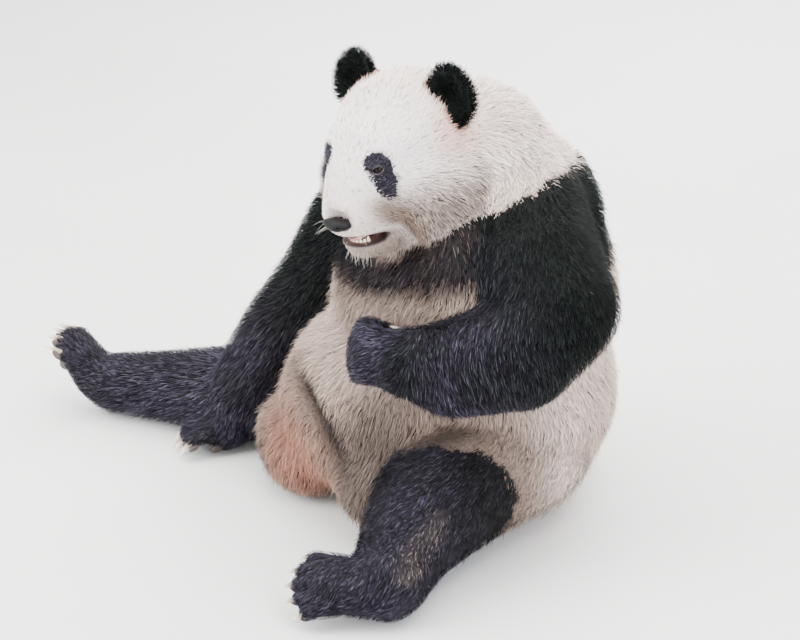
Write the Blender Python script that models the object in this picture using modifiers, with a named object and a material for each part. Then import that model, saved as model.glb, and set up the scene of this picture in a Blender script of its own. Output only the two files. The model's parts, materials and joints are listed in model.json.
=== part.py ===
"""Giant panda sitting on its rump with its left fist raised, a life-size still model.

The panda looks along -Y, its left side is +X and +Z is up.  Flesh is laid down as balls
and tapered limbs that follow the outline of the coat.  Those of one limb, of the head or
of the trunk are melted into one closed form, pressed flat where it meets the floor, and
parted by thin plane cuts into the pieces that a person would name.  A form that grows out
of another sits in a socket cut to fit it.
"""
import math
from dataclasses import dataclass

import bmesh
import bpy
from mathutils import Euler, Matrix, Vector

# ------------------------------------------------------------------ driving dimensions (m)
GAP = 0.0004            # width of a thin cut between two pieces
SOCKET_GAP = 0.0009     # clearance of a piece in the socket that it grows out of
VOXEL = 0.0125          # grain of the melted trunk
LIMB_VOXEL = 0.0078     # grain of the limbs, with their toes
HEAD_VOXEL = 0.0056     # grain of the head

HEAD_CENTRE = Vector((-0.002, -0.176, 0.684))
HEAD_PITCH = 8          # degrees the muzzle drops below level
HEAD_YAW = 12           # degrees the face turns to its own left
HEAD_ROLL = -4          # degrees the crown leans to its own right

EYE_SPREAD = 0.0545     # half the distance between the eyes
EYE_RADIUS = 0.0115
EYE_DEPTH = 0.0095      # how far the middle of an eye lies under the coat
EYE_LEVEL = 0.030       # height of the eyes above the middle of the head
MOUTH_GAPE = 0.017      # height of the open mouth at the lips
LOWER_TEETH = 8         # six incisors between two canines
TOOTH_WIDTH = 0.0062
TOOTH_HEIGHT = 0.0090
TOOTH_ARC = 64          # degrees from the middle of the row to a canine
TOOTH_ROW_RADIUS = 0.021
CLAW_LENGTH = 0.040
CLAW_RADIUS = 0.0055
CLAW_BEND = 38          # degrees a claw curves from root to tip
TOES = 5
SHOULDER_ROOT = 0.095   # how far from the middle plane an arm ends inside the trunk
HIP_ROOT = 0.060        # how far from the middle plane a leg ends inside the trunk
ROOT_SLANT = -0.85      # how much the flat ends of the limbs turn towards the front

# Skeleton of each limb, as the middle of its coat passes: place and radius at each station.
ARM_LEFT = (
    ((0.132, -0.020, 0.580), 0.115),
    ((0.225, -0.070, 0.518), 0.120),
    ((0.300, -0.082, 0.474), 0.103),
    ((0.278, -0.150, 0.408), 0.100),
    ((0.205, -0.233, 0.376), 0.085),
    ((0.150, -0.285, 0.385), 0.062),
)
ARM_RIGHT = (
    ((-0.122, -0.050, 0.550), 0.110),
    ((-0.198, -0.104, 0.475), 0.095),
    ((-0.265, -0.145, 0.350), 0.080),
    ((-0.325, -0.180, 0.255), 0.077),
    ((-0.381, -0.218, 0.152), 0.063),
    ((-0.403, -0.233, 0.090), 0.050),
)
LEG_LEFT = (
    ((0.118, 0.000, 0.128), 0.130),
    ((0.130, -0.110, 0.126), 0.128),
    ((0.145, -0.200, 0.112), 0.116),
    ((0.193, -0.318, 0.086), 0.087),
    ((0.258, -0.418, 0.062), 0.066),
)
LEG_RIGHT = (
    ((-0.152, -0.030, 0.122), 0.125),
    ((-0.290, -0.100, 0.112), 0.115),
    ((-0.420, -0.168, 0.090), 0.092),
    ((-0.560, -0.250, 0.072), 0.073),
    ((-0.672, -0.312, 0.058), 0.060),
)
TRUNK_BALLS = (
    # middle, semi-axes, turn in degrees about X, Y and Z
    ((-0.005, 0.010, 0.205), (0.258, 0.250, 0.240), (0, 0, 0)),
    ((-0.060, -0.130, 0.200), (0.220, 0.215, 0.185), (0, 0, -30)),
    ((-0.205, -0.215, 0.085), (0.128, 0.105, 0.108), (0, 0, -25)),
    ((0.050, -0.190, 0.105), (0.125, 0.150, 0.115), (0, 0, 0)),
    ((0.000, -0.005, 0.400), (0.262, 0.255, 0.230), (0, 0, 0)),
    ((0.005, 0.005, 0.530), (0.228, 0.210, 0.180), (0, 0, 0)),
    ((0.004, -0.050, 0.638), (0.170, 0.170, 0.142), (20, 0, 0)),
    ((0.140, -0.134, 0.492), (0.108, 0.106, 0.130), (0, 0, 0)),
)
SPINE = (
    ((-0.004, 0.006, 0.232), 0.240),
    ((0.000, 0.000, 0.380), 0.250),
    ((0.003, 0.000, 0.510), 0.208),
    ((0.004, -0.040, 0.620), 0.158),
)
TAIL_BALLS = (
    ((0.012, 0.226, 0.052), (0.056, 0.040, 0.056), (16, 0, 0)),
    ((0.012, 0.248, 0.026), (0.048, 0.034, 0.038), (0, 0, 0)),
)

# Head masses, in the head's own frame: face along -Y, crown up, origin between the ears.
CRANIUM_BALLS = (
    ((0.000, 0.030, 0.015), (0.130, 0.132, 0.120), (0, 0, 0)),
    ((0.000, -0.050, 0.034), (0.096, 0.084, 0.074), (0, 0, 0)),
    ((0.000, 0.004, -0.082), (0.100, 0.092, 0.072), (0, 0, 0)),
)
CHEEK_BALLS = (
    # the left side of the face; the right side mirrors it
    ((0.076, 0.014, -0.066), (0.086, 0.106, 0.094), (0, 0, 0)),
    ((0.056, -0.044, -0.014), (0.062, 0.076, 0.064), (0, 0, 0)),
    ((0.038, -0.084, -0.040), (0.044, 0.060, 0.046), (0, 0, 0)),
)
MUZZLE = (
    ((0.000, -0.078, 0.026), 0.064),
    ((0.000, -0.110, -0.014), 0.060),
    ((0.000, -0.135, -0.044), 0.052),
)
JAW = (
    ((0.000, -0.020, -0.092), 0.062),
    ((0.000, -0.080, -0.102), 0.048),
    ((0.000, -0.118, -0.104), 0.036),
)
CHIN_BALL = ((0.000, -0.111, -0.100), (0.046, 0.041, 0.029), (0, 0, 0))
EAR_BALL = ((0.102, 0.035, 0.104), (0.043, 0.024, 0.057), (-12, -20, 14))
CUP_BALL = ((0.099, 0.005, 0.111), (0.031, 0.022, 0.042), (-12, -20, 14))
EAR_VOXEL = 0.004       # grain of the ears
NOSE_BALL = ((0.000, -0.177, -0.043), (0.027, 0.019, 0.016), (-20, 0, 0))
MOUTH_SLOT = ((0.000, -0.158, -0.083), (0.046, 0.070, MOUTH_GAPE / 2), (-6, 0, 0))
TONGUE_BALL = ((0.000, -0.122, -0.0852), (0.016, 0.030, 0.0036), (-6, 0, 0))
TOOTH_ROW = Vector((0.000, -0.140, -0.096))

# Plane cuts: a place on the plane and the direction from the nearer piece to the farther.
NECK_CUT = ((0.004, -0.050, 0.630), (0.0, -0.25, 0.97))
ELBOW_LEFT_CUT = ((0.296, -0.120, 0.435), (-0.30, -0.70, -0.65))
WRIST_LEFT_CUT = ((0.152, -0.282, 0.385), (-0.84, -0.54, 0.02))
ELBOW_RIGHT_CUT = ((-0.300, -0.165, 0.300), (-0.50, -0.30, -0.81))
WRIST_RIGHT_CUT = ((-0.400, -0.234, 0.112), (-0.35, -0.25, -0.90))
KNEE_LEFT_CUT = ((0.150, -0.210, 0.110), (0.42, -0.90, -0.12))
ANKLE_LEFT_CUT = ((0.250, -0.392, 0.064), (0.50, -0.85, -0.15))
KNEE_RIGHT_CUT = ((-0.440, -0.180, 0.090), (-0.86, -0.50, -0.08))
ANKLE_RIGHT_CUT = ((-0.655, -0.303, 0.060), (-0.87, -0.49, 0.0))


@dataclass(frozen=True)
class Paw:
    """A hand or foot: a palm with five toes side by side, each ending in a claw."""

    palm: tuple             # middle of the palm
    forward: tuple          # from wrist or ankle to the toes
    back: tuple             # out of the back of the hand or foot
    size: tuple             # half width, half length and half thickness of the palm
    curls: tuple            # degrees each toe joint bends towards the palm
    toe: float              # radius of a toe
    reach: float            # length of a toe joint

    def axes(self):
        """Return the paw's unit axes: across, forward and back of the hand."""
        forward = Vector(self.forward).normalized()
        across = forward.cross(Vector(self.back)).normalized()
        return across, forward, across.cross(forward)

    def toe_joints(self, index):
        """Return the places of one toe's joints and the direction of its tip."""
        across, forward, back = self.axes()
        offset = (index - (TOES - 1) / 2) / ((TOES - 1) / 2)
        width, length, _ = self.size
        start = Vector(self.palm) + across * offset * (width - self.toe * 0.6)
        start += forward * length * (0.62 - 0.22 * offset * offset)
        splay = forward + across * offset * 0.16
        joints = [start]
        for curl in self.curls:
            angle = math.radians(curl)
            heading = splay.normalized() * math.cos(angle) - back * math.sin(angle)
            joints.append(joints[-1] + heading * self.reach)
        return joints, heading, -back * math.cos(angle) - splay * math.sin(angle)


HAND_LEFT = Paw((0.106, -0.312, 0.387), (-0.84, -0.54, 0.05), (0.55, -0.80, 0.20),
                (0.052, 0.048, 0.038), (42, 98, 148), 0.0165, 0.026)
HAND_RIGHT = Paw((-0.414, -0.244, 0.047), (-0.60, -0.78, 0.02), (-0.12, -0.04, 0.98),
                 (0.054, 0.056, 0.050), (10, 30), 0.0165, 0.022)
FOOT_LEFT = Paw((0.240, -0.461, 0.062), (-0.66, -0.74, 0.12), (0.46, -0.40, 0.79),
                (0.054, 0.092, 0.044), (4, 26), 0.0165, 0.024)
FOOT_RIGHT = Paw((-0.716, -0.336, 0.078), (-0.44, -0.26, 0.86), (0.74, 0.43, 0.51),
                 (0.052, 0.076, 0.040), (4, 24), 0.0160, 0.018)

PAWS = {
    "hand_left": HAND_LEFT,
    "hand_right": HAND_RIGHT,
    "foot_left": FOOT_LEFT,
    "foot_right": FOOT_RIGHT,
}

BLACK_COAT = (0.014, 0.012, 0.018)
CREAM_COAT = (0.72, 0.62, 0.52)
NOSE_SKIN = (0.02, 0.02, 0.022)
TONGUE_SKIN = (0.45, 0.22, 0.21)
EYE_BROWN = (0.03, 0.015, 0.008)
CLAW_HORN = (0.55, 0.50, 0.43)


# ------------------------------------------------------------------ making and melting
def clear_scene():
    """Remove the scene's objects, so that the script starts from nothing."""
    for old in list(bpy.data.objects):
        bpy.data.objects.remove(old, do_unlink=True)


def collection_named(name):
    """Return a new collection linked to the scene."""
    collection = bpy.data.collections.new(name)
    bpy.context.scene.collection.children.link(collection)
    return collection


def finish_of(name, colour, roughness):
    """Make the Principled material `name`."""
    material = bpy.data.materials.new(name)
    material.use_nodes = True
    shader = material.node_tree.nodes["Principled BSDF"]
    shader.inputs["Base Color"].default_value = (*colour, 1.0)
    shader.inputs["Roughness"].default_value = roughness
    shader.inputs["Metallic"].default_value = 0.0
    return material


def add_ball(form, middle, semi_axes, turn=(0, 0, 0), grain=3):
    """Add an ellipsoid to the bmesh `form`."""
    angles = Euler([math.radians(angle) for angle in turn])
    placed = Matrix.LocRotScale(Vector(middle), angles, Vector(semi_axes))
    bmesh.ops.create_icosphere(form, subdivisions=grain, radius=1.0, matrix=placed)


def add_limb(form, stations, sides=20):
    """Add tapered round-ended lengths from each (place, radius) station to the next."""
    for (start, start_radius), (end, end_radius) in zip(stations, stations[1:]):
        start = Vector(start)
        end = Vector(end)
        turn = (end - start).to_track_quat("Z", "Y")
        ball = bmesh.ops.create_uvsphere(form, u_segments=sides, v_segments=12, radius=1.0)
        for vertex in ball["verts"]:
            if vertex.co.z > 0.01:
                vertex.co = end + end_radius * (turn @ vertex.co)
            else:
                vertex.co = start + start_radius * (turn @ vertex.co)


def solid_from(name, form, collection):
    """Turn the bmesh `form` into an object in `collection`."""
    mesh = bpy.data.meshes.new(name)
    form.to_mesh(mesh)
    form.free()
    solid = bpy.data.objects.new(name, mesh)
    collection.objects.link(solid)
    return solid


def bake(solid):
    """Replace a solid's mesh by the one its modifiers give."""
    graph = bpy.context.evaluated_depsgraph_get()
    mesh = bpy.data.meshes.new_from_object(solid.evaluated_get(graph))
    solid.modifiers.clear()
    solid.data = mesh


def melt(solid, voxel, rounds, triangles):
    """Melt overlapping shapes into one closed form of about `triangles` faces."""
    remesh = solid.modifiers.new("melt", "REMESH")
    remesh.mode = "VOXEL"
    remesh.voxel_size = voxel
    smooth = solid.modifiers.new("soften", "SMOOTH")
    smooth.factor = 0.5
    smooth.iterations = rounds
    bake(solid)
    count = sum(len(face.vertices) - 2 for face in solid.data.polygons)
    coarsen = solid.modifiers.new("coarsen", "DECIMATE")
    coarsen.ratio = min(1.0, triangles / count)
    solid.modifiers.new("flat faces", "TRIANGULATE")
    bake(solid)


def swollen(solid, cutters):
    """Return a copy of `solid` grown along its normals, to cut sockets with."""
    form = bmesh.new()
    form.from_mesh(solid.data)
    form.normal_update()
    for vertex in form.verts:
        vertex.co += vertex.normal * SOCKET_GAP
    cutter = solid_from(solid.name + "_cutter", form, cutters)
    cutter.hide_render = True
    cutter.display_type = "WIRE"
    return cutter


def carve(solid, *cutters):
    """Take each of `cutters` out of `solid`."""
    for cutter in cutters:
        cut = solid.modifiers.new("carve", "BOOLEAN")
        cut.operation = "DIFFERENCE"
        cut.object = cutter
        bake(solid)


def trimmed(form, place, normal):
    """Cut away what lies behind the plane and close the cut with flat faces."""
    everything = form.verts[:] + form.edges[:] + form.faces[:]
    cut = bmesh.ops.bisect_plane(
        form, geom=everything, plane_co=place, plane_no=normal, clear_inner=True
    )
    rim = [item for item in cut["geom_cut"] if isinstance(item, bmesh.types.BMEdge)]
    if rim:
        bmesh.ops.holes_fill(form, edges=rim, sides=0)


def flatten(solid, place, normal):
    """Cut a solid flat at the plane, keeping the side that `normal` points to."""
    form = bmesh.new()
    form.from_mesh(solid.data)
    trimmed(form, place, normal)
    form.to_mesh(solid.data)
    form.free()


def rest_on_floor(solid):
    """Press a form flat where it reaches below the floor at z = 0."""
    flatten(solid, Vector((0, 0, 0)), Vector((0, 0, 1)))


def sliced(solid, cut, names):
    """Part `solid` at a plane: names[0] lies behind the plane, names[1] ahead of it."""
    place, normal = Vector(cut[0]), Vector(cut[1]).normalized()
    pieces = []
    for name, side in zip(names, (-1, 1)):
        form = bmesh.new()
        form.from_mesh(solid.data)
        trimmed(form, place + normal * side * GAP / 2, normal * side)
        pieces.append(solid_from(name, form, solid.users_collection[0]))
    bpy.data.objects.remove(solid, do_unlink=True)
    return pieces


# ------------------------------------------------------------------ claws, paws and limbs
def add_claw(form, root, heading, downward):
    """Make the empty `form` a claw: a cone bent by CLAW_BEND from `root` to `downward`."""
    bmesh.ops.create_cone(
        form, cap_ends=True, segments=6, radius1=CLAW_RADIUS, radius2=0.0009, depth=CLAW_LENGTH
    )
    long_edges = [edge for edge in form.edges if edge.calc_length() > CLAW_LENGTH / 2]
    bmesh.ops.subdivide_edges(form, edges=long_edges, cuts=2, use_grid_fill=True)
    heading = heading.normalized()
    downward = (downward - heading * downward.dot(heading)).normalized()
    across = heading.cross(downward)
    radius = CLAW_LENGTH / math.radians(CLAW_BEND)
    for vertex in form.verts:
        along = (vertex.co.z / CLAW_LENGTH + 0.5) * math.radians(CLAW_BEND)
        arm = radius + vertex.co.y
        reach = arm * math.sin(along)
        drop = radius - arm * math.cos(along)
        vertex.co = root + heading * reach + downward * drop + across * vertex.co.x


def build_claws(name, paw, collection):
    """Make the claws of a paw, one object for each toe."""
    claws = []
    for index in range(TOES):
        joints, heading, downward = paw.toe_joints(index)
        form = bmesh.new()
        add_claw(form, joints[-1] - heading * CLAW_LENGTH * 0.10, heading, downward)
        bmesh.ops.recalc_face_normals(form, faces=form.faces[:])
        claws.append(solid_from(f"claw_{name}_{index + 1}", form, collection))
    return claws


def build_limb(name, stations, paw, root, triangles, collection):
    """Make a limb with its paw as one melted form that ends flat at x = `root`."""
    form = bmesh.new()
    add_limb(form, stations)
    across, forward, back = paw.axes()
    turn = Matrix((across, forward, back)).transposed().to_4x4()
    placed = Matrix.Translation(paw.palm) @ turn @ Matrix.Diagonal((*paw.size, 1.0))
    bmesh.ops.create_icosphere(form, subdivisions=3, radius=1.0, matrix=placed)
    for index in range(TOES):
        joints, _, _ = paw.toe_joints(index)
        add_limb(form, [(joint, paw.toe) for joint in joints], sides=12)
    limb = solid_from(name, form, collection)
    melt(limb, LIMB_VOXEL, 3, triangles)
    slant = Vector((math.copysign(1.0, root), ROOT_SLANT, 0)).normalized()
    flatten(limb, Vector((root, 0, 0)), slant)
    rest_on_floor(limb)
    return limb


# ------------------------------------------------------------------ the head
def head_frame():
    """Return the matrix that carries the head's own frame into the body's."""
    degrees = (HEAD_PITCH, HEAD_ROLL, HEAD_YAW)
    angles = Euler([math.radians(angle) for angle in degrees])
    return Matrix.LocRotScale(HEAD_CENTRE, angles, None)


def build_head_form(name, balls, stations, voxel, rounds, triangles, collection):
    """Melt balls and a limb, given in the head's own frame, into one form."""
    form = bmesh.new()
    for ball in balls:
        add_ball(form, *ball)
    add_limb(form, stations)
    solid = solid_from(name, form, collection)
    melt(solid, voxel, rounds, triangles)
    return solid


def grow_teeth(jaw, cutters):
    """Join the lower teeth to the jaw: six incisors in an arc between two canines."""
    last = (LOWER_TEETH - 1) / 2
    for index in range(LOWER_TEETH):
        swing = math.radians(TOOTH_ARC) * (index - last) / last
        canine = index in (0, LOWER_TEETH - 1)
        height = TOOTH_HEIGHT * (1.5 if canine else 1.0)
        place = TOOTH_ROW + TOOTH_ROW_RADIUS * Vector((math.sin(swing), 1 - math.cos(swing), 0))
        form = bmesh.new()
        bmesh.ops.create_cone(
            form,
            cap_ends=True,
            segments=6,
            radius1=TOOTH_WIDTH * (0.62 if canine else 0.5),
            radius2=TOOTH_WIDTH * (0.12 if canine else 0.34),
            depth=height,
            matrix=Matrix.Translation(place + Vector((0, 0, height / 2))),
        )
        tooth = solid_from(f"tooth_{index + 1}", form, cutters)
        tooth.hide_render = True
        tooth.display_type = "WIRE"
        join = jaw.modifiers.new("grow", "BOOLEAN")
        join.operation = "UNION"
        join.object = tooth
        bake(jaw)


def on_side(side, ball):
    """Return a ball of the left side of the head as it is on `side`, 1 or -1."""
    middle, semi_axes, turn = ball
    return (side * middle[0], *middle[1:]), semi_axes, (turn[0], side * turn[1], side * turn[2])


def eye_place(head, side):
    """Return the middle of an eye: EYE_DEPTH behind the face at the eyes' level."""
    front = Vector((side * EYE_SPREAD, -1.0, EYE_LEVEL))
    _, surface, normal, _ = head.ray_cast(front, Vector((0, 1, 0)))
    return surface - normal * EYE_DEPTH


def build_head(collection, cutters):
    """Make the head with its jaw, ears, eyes, nose and tongue; return cutters of its form."""
    cheeks = [on_side(side, ball) for ball in CHEEK_BALLS for side in (1, -1)]
    balls = [*CRANIUM_BALLS, *cheeks]
    head = build_head_form("head", balls, MUZZLE, HEAD_VOXEL, 18, 960, collection)
    jaw = build_head_form("lower_jaw", [CHIN_BALL], JAW, HEAD_VOXEL, 5, 220, collection)
    jaw_cutter = swollen(jaw, cutters)
    form = bmesh.new()
    add_ball(form, *MOUTH_SLOT, grain=2)
    slot = solid_from("mouth_slot", form, cutters)
    slot.hide_render = True
    slot.display_type = "WIRE"
    form = bmesh.new()
    add_ball(form, *TONGUE_BALL, grain=2)
    tongue = solid_from("tongue", form, collection)
    form = bmesh.new()
    add_ball(form, *NOSE_BALL, grain=2)
    nose = solid_from("nose", form, collection)
    head_cutter = swollen(head, cutters)
    carve(jaw, head_cutter, slot)
    grow_teeth(jaw, cutters)
    ears = []
    eyes = []
    for side, name in ((1, "left"), (-1, "right")):
        form = bmesh.new()
        add_ball(form, *on_side(side, EAR_BALL))
        ear = solid_from("ear_" + name, form, collection)
        form = bmesh.new()
        add_ball(form, *on_side(side, CUP_BALL), grain=2)
        cup = solid_from("cup_" + name, form, cutters)
        cup.hide_render = True
        cup.display_type = "WIRE"
        carve(ear, cup)
        melt(ear, EAR_VOXEL, 3, 150)
        carve(ear, head_cutter)
        ears.append(ear)
        form = bmesh.new()
        bmesh.ops.create_uvsphere(form, u_segments=10, v_segments=6, radius=EYE_RADIUS)
        bmesh.ops.translate(form, verts=form.verts, vec=eye_place(head, side))
        eyes.append(solid_from("eye_" + name, form, collection))
    carve(head, swollen(nose, cutters), slot, *[swollen(eye, cutters) for eye in eyes])
    carve(tongue, swollen(head, cutters), swollen(jaw, cutters))
    frame = head_frame()
    for piece in (head, jaw, *ears, *eyes, nose, tongue, head_cutter, jaw_cutter):
        piece.data.transform(frame)
    return head_cutter, jaw_cutter


# ------------------------------------------------------------------ the trunk
def build_trunk(collection):
    """Make the trunk with the neck as one melted form."""
    form = bmesh.new()
    for ball in TRUNK_BALLS:
        add_ball(form, *ball)
    add_limb(form, SPINE, sides=32)
    trunk = solid_from("trunk_and_neck", form, collection)
    melt(trunk, VOXEL, 9, 640)
    rest_on_floor(trunk)
    return trunk


def build_tail(trunk, collection, cutters):
    """Make the short tail, pressed against the rump and laid on the floor."""
    form = bmesh.new()
    for ball in TAIL_BALLS:
        add_ball(form, *ball)
    tail = solid_from("tail", form, collection)
    melt(tail, LIMB_VOXEL, 4, 110)
    rest_on_floor(tail)
    carve(tail, swollen(trunk, cutters))
    return tail


def largest_piece(solid):
    """Drop any crumb that a cut has left beside the main body of `solid`."""
    form = bmesh.new()
    form.from_mesh(solid.data)
    left = set(form.verts)
    islands = []
    while left:
        island = set()
        front = [left.pop()]
        while front:
            vertex = front.pop()
            island.add(vertex)
            for edge in vertex.link_edges:
                other = edge.other_vert(vertex)
                if other in left:
                    left.discard(other)
                    front.append(other)
        islands.append(island)
    islands.sort(key=len)
    crumbs = [vertex for island in islands[:-1] for vertex in island]
    bmesh.ops.delete(form, geom=crumbs, context="VERTS")
    form.to_mesh(solid.data)
    form.free()


def centre_on_floor(solids):
    """Move the panda so that the origin is under the middle of its bounding box."""
    corners = [vertex.co for solid in solids for vertex in solid.data.vertices]
    middle = Vector(
        (min(co[axis] for co in corners) + max(co[axis] for co in corners)) / 2
        for axis in (0, 1)
    ).to_3d()
    for solid in solids:
        solid.data.transform(Matrix.Translation(-middle))


def dress(solids):
    """Give every piece its finish."""
    black = finish_of("black_coat", BLACK_COAT, 0.9)
    cream = finish_of("cream_coat", CREAM_COAT, 0.9)
    finishes = {
        "eye": finish_of("eye_brown", EYE_BROWN, 0.1),
        "nose": finish_of("nose_skin", NOSE_SKIN, 0.5),
        "tongue": finish_of("tongue_skin", TONGUE_SKIN, 0.4),
        "claw": finish_of("claw_horn", CLAW_HORN, 0.4),
    }
    finishes |= dict.fromkeys(("head", "lower", "neck", "trunk", "tail"), cream)
    for solid in solids:
        solid.data.materials.clear()
        solid.data.materials.append(finishes.get(solid.name.split("_")[0], black))


def main():
    """Build the whole panda."""
    clear_scene()
    panda = collection_named("giant_panda")
    cutters = collection_named("cutters")
    trunk = build_trunk(panda)
    head_cutter, jaw_cutter = build_head(panda, cutters)
    tail = build_tail(trunk, panda, cutters)
    arm_left = build_limb("arm_left", ARM_LEFT, HAND_LEFT, SHOULDER_ROOT, 500, panda)
    arm_right = build_limb("arm_right", ARM_RIGHT, HAND_RIGHT, -SHOULDER_ROOT, 460, panda)
    leg_left = build_limb("leg_left", LEG_LEFT, FOOT_LEFT, HIP_ROOT, 440, panda)
    leg_right = build_limb("leg_right", LEG_RIGHT, FOOT_RIGHT, -HIP_ROOT, 440, panda)
    for arm in (arm_left, arm_right):
        carve(arm, head_cutter, jaw_cutter)
    trunk_cutter = swollen(trunk, cutters)
    arm_cutters = [swollen(arm, cutters) for arm in (arm_left, arm_right)]
    leg_cutters = [swollen(leg, cutters) for leg in (leg_left, leg_right)]
    for leg in (leg_left, leg_right):
        carve(leg, *arm_cutters)
    carve(trunk, head_cutter, jaw_cutter, *arm_cutters, *leg_cutters)
    flesh_cutters = [trunk_cutter, *arm_cutters, *leg_cutters]
    for name, paw in PAWS.items():
        for claw in build_claws(name, paw, panda):
            carve(claw, *flesh_cutters)
    sliced(trunk, NECK_CUT, ("trunk", "neck"))
    for side, arm, elbow, wrist in (
        ("left", arm_left, ELBOW_LEFT_CUT, WRIST_LEFT_CUT),
        ("right", arm_right, ELBOW_RIGHT_CUT, WRIST_RIGHT_CUT),
    ):
        _, lower = sliced(arm, elbow, ("upper_arm_" + side, "lower_arm"))
        sliced(lower, wrist, ("forearm_" + side, "hand_" + side))
    for side, leg, knee, ankle in (
        ("left", leg_left, KNEE_LEFT_CUT, ANKLE_LEFT_CUT),
        ("right", leg_right, KNEE_RIGHT_CUT, ANKLE_RIGHT_CUT),
    ):
        _, lower = sliced(leg, knee, ("thigh_" + side, "lower_leg"))
        sliced(lower, ankle, ("shin_" + side, "foot_" + side))
    for solid in panda.objects:
        largest_piece(solid)
    centre_on_floor(panda.objects)
    dress(panda.objects)


if __name__ == "__main__":
    main()
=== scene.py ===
"""Skin, coat, face and claws of a life-size giant panda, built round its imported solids.

The solids mark where the tips of the coat reach.  One skin is melted from all the pieces
of flesh and sunk under that outline by the depth of the coat.  The coat is solid mesh:
thousands of tapered locks that start on the skin, follow the lie of the fur and bend over
until their tips reach the outline.  Skin and coat take their colours from one set of
markings.  Lengths are metres, +Z is up, the panda looks along -Y.
"""

from __future__ import annotations

import json
import logging
import math
from dataclasses import dataclass, field
from enum import Enum

import bmesh
import bpy
import numpy as np
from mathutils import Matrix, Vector
from mathutils.bvhtree import BVHTree

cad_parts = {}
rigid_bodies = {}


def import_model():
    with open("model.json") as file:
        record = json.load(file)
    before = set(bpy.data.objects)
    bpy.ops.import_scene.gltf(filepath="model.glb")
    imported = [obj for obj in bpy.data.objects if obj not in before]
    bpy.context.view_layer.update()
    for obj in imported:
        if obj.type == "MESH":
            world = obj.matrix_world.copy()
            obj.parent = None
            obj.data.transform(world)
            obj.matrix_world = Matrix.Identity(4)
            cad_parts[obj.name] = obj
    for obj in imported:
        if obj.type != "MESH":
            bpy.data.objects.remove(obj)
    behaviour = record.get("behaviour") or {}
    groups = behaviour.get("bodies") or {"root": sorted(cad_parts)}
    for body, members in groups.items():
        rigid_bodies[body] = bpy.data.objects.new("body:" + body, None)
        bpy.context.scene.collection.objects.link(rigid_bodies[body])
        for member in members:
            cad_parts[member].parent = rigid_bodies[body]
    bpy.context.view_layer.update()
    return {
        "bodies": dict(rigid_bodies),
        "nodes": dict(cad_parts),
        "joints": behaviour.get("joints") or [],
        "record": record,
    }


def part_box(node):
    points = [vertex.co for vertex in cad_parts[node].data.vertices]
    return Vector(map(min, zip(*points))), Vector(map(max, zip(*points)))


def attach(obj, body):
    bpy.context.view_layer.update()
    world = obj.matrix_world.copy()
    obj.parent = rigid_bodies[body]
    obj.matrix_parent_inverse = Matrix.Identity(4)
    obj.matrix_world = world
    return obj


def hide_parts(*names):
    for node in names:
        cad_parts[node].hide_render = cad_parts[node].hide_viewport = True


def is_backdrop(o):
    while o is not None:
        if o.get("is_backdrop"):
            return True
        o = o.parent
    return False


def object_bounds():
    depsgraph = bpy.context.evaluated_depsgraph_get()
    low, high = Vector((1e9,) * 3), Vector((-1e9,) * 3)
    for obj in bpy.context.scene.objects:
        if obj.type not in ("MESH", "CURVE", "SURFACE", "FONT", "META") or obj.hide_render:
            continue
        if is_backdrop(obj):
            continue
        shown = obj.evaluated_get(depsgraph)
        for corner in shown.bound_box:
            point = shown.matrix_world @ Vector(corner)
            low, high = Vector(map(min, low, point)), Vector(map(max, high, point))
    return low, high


Array = np.ndarray
Span, Triple = tuple[float, float], tuple[float, float, float]
Mesh, Thing = bpy.types.Mesh, bpy.types.Object
Tree, Node, Socket = bpy.types.NodeTree, bpy.types.Node, bpy.types.NodeSocket
LOG = logging.getLogger("panda")
MM = 0.001
FLOOR_GAP = 0.8 * MM  # between the floor and the lowest leather
BAKE_MAP = "OFBake"
UP = np.array((0.0, 0.0, 1.0))


class Side(Enum):
    """The animal's own left and right."""

    LEFT = 1
    RIGHT = -1

    @property
    def word(self) -> str:
        """Return the side's name as the solids spell it."""
        return self.name.lower()


# ---------------- numbers and arrays
def linear(code: str) -> Triple:
    """Turn an sRGB hex colour into linear red, green and blue.

    Args:
        code: six hex digits, such as "EDE6E1".

    Returns:
        The three linear values.
    """
    values = (int(code[at : at + 2], 16) / 255 for at in (0, 2, 4))
    return tuple(v / 12.92 if v <= 0.04045 else ((v + 0.055) / 1.055) ** 2.4 for v in values)


def hues(*codes: str) -> list[Array]:
    """Return sRGB hex colours as linear arrays."""
    return [np.array(linear(code)) for code in codes]


def unit(vectors: Array) -> Array:
    """Return each row scaled to length one."""
    return vectors / (np.linalg.norm(vectors, axis=-1, keepdims=True) + 1e-12)


def dots(first: Array, second: Array) -> Array:
    """Return the dot product of each pair of rows, as a column."""
    return np.sum(first * second, axis=-1, keepdims=True)


def ease(low: float, high: float, values: Array) -> Array:
    """Rise smoothly from 0 at `low` to 1 at `high`: 3t^2 - 2t^3 of the clipped share."""
    share = np.clip((values - low) / (high - low), 0.0, 1.0)
    return share * share * (3 - 2 * share)


def bell(values: Array, middle: float, width: float) -> Array:
    """Return 1 at `middle`, falling off on both sides: exp(-((v - middle) / width)^2)."""
    return np.exp(-(((values - middle) / width) ** 2))


def column(values: Array) -> Array:
    """Return a flat array as one column."""
    return values[:, None]


def gaps(points: Array, place: Array, scale: tuple | float = 1.0) -> Array:
    """Return how far points lie from a place, after each axis is scaled."""
    return np.linalg.norm((points - place) * scale, axis=-1)


def along_line(points: Array, start: Array, end: Array) -> tuple[Array, Array]:
    """Measure points against a straight line from `start` to `end`.

    Args:
        points: rows of places.
        start: one end of the line.
        end: its other end.

    Returns:
        How far along the line the nearest spot lies, as a share, and how far off it is.
    """
    line = end - start
    share = np.clip((points - start) @ line / (line @ line), 0, 1)
    return share, np.linalg.norm(points - start - column(share) * line, axis=1)


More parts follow.
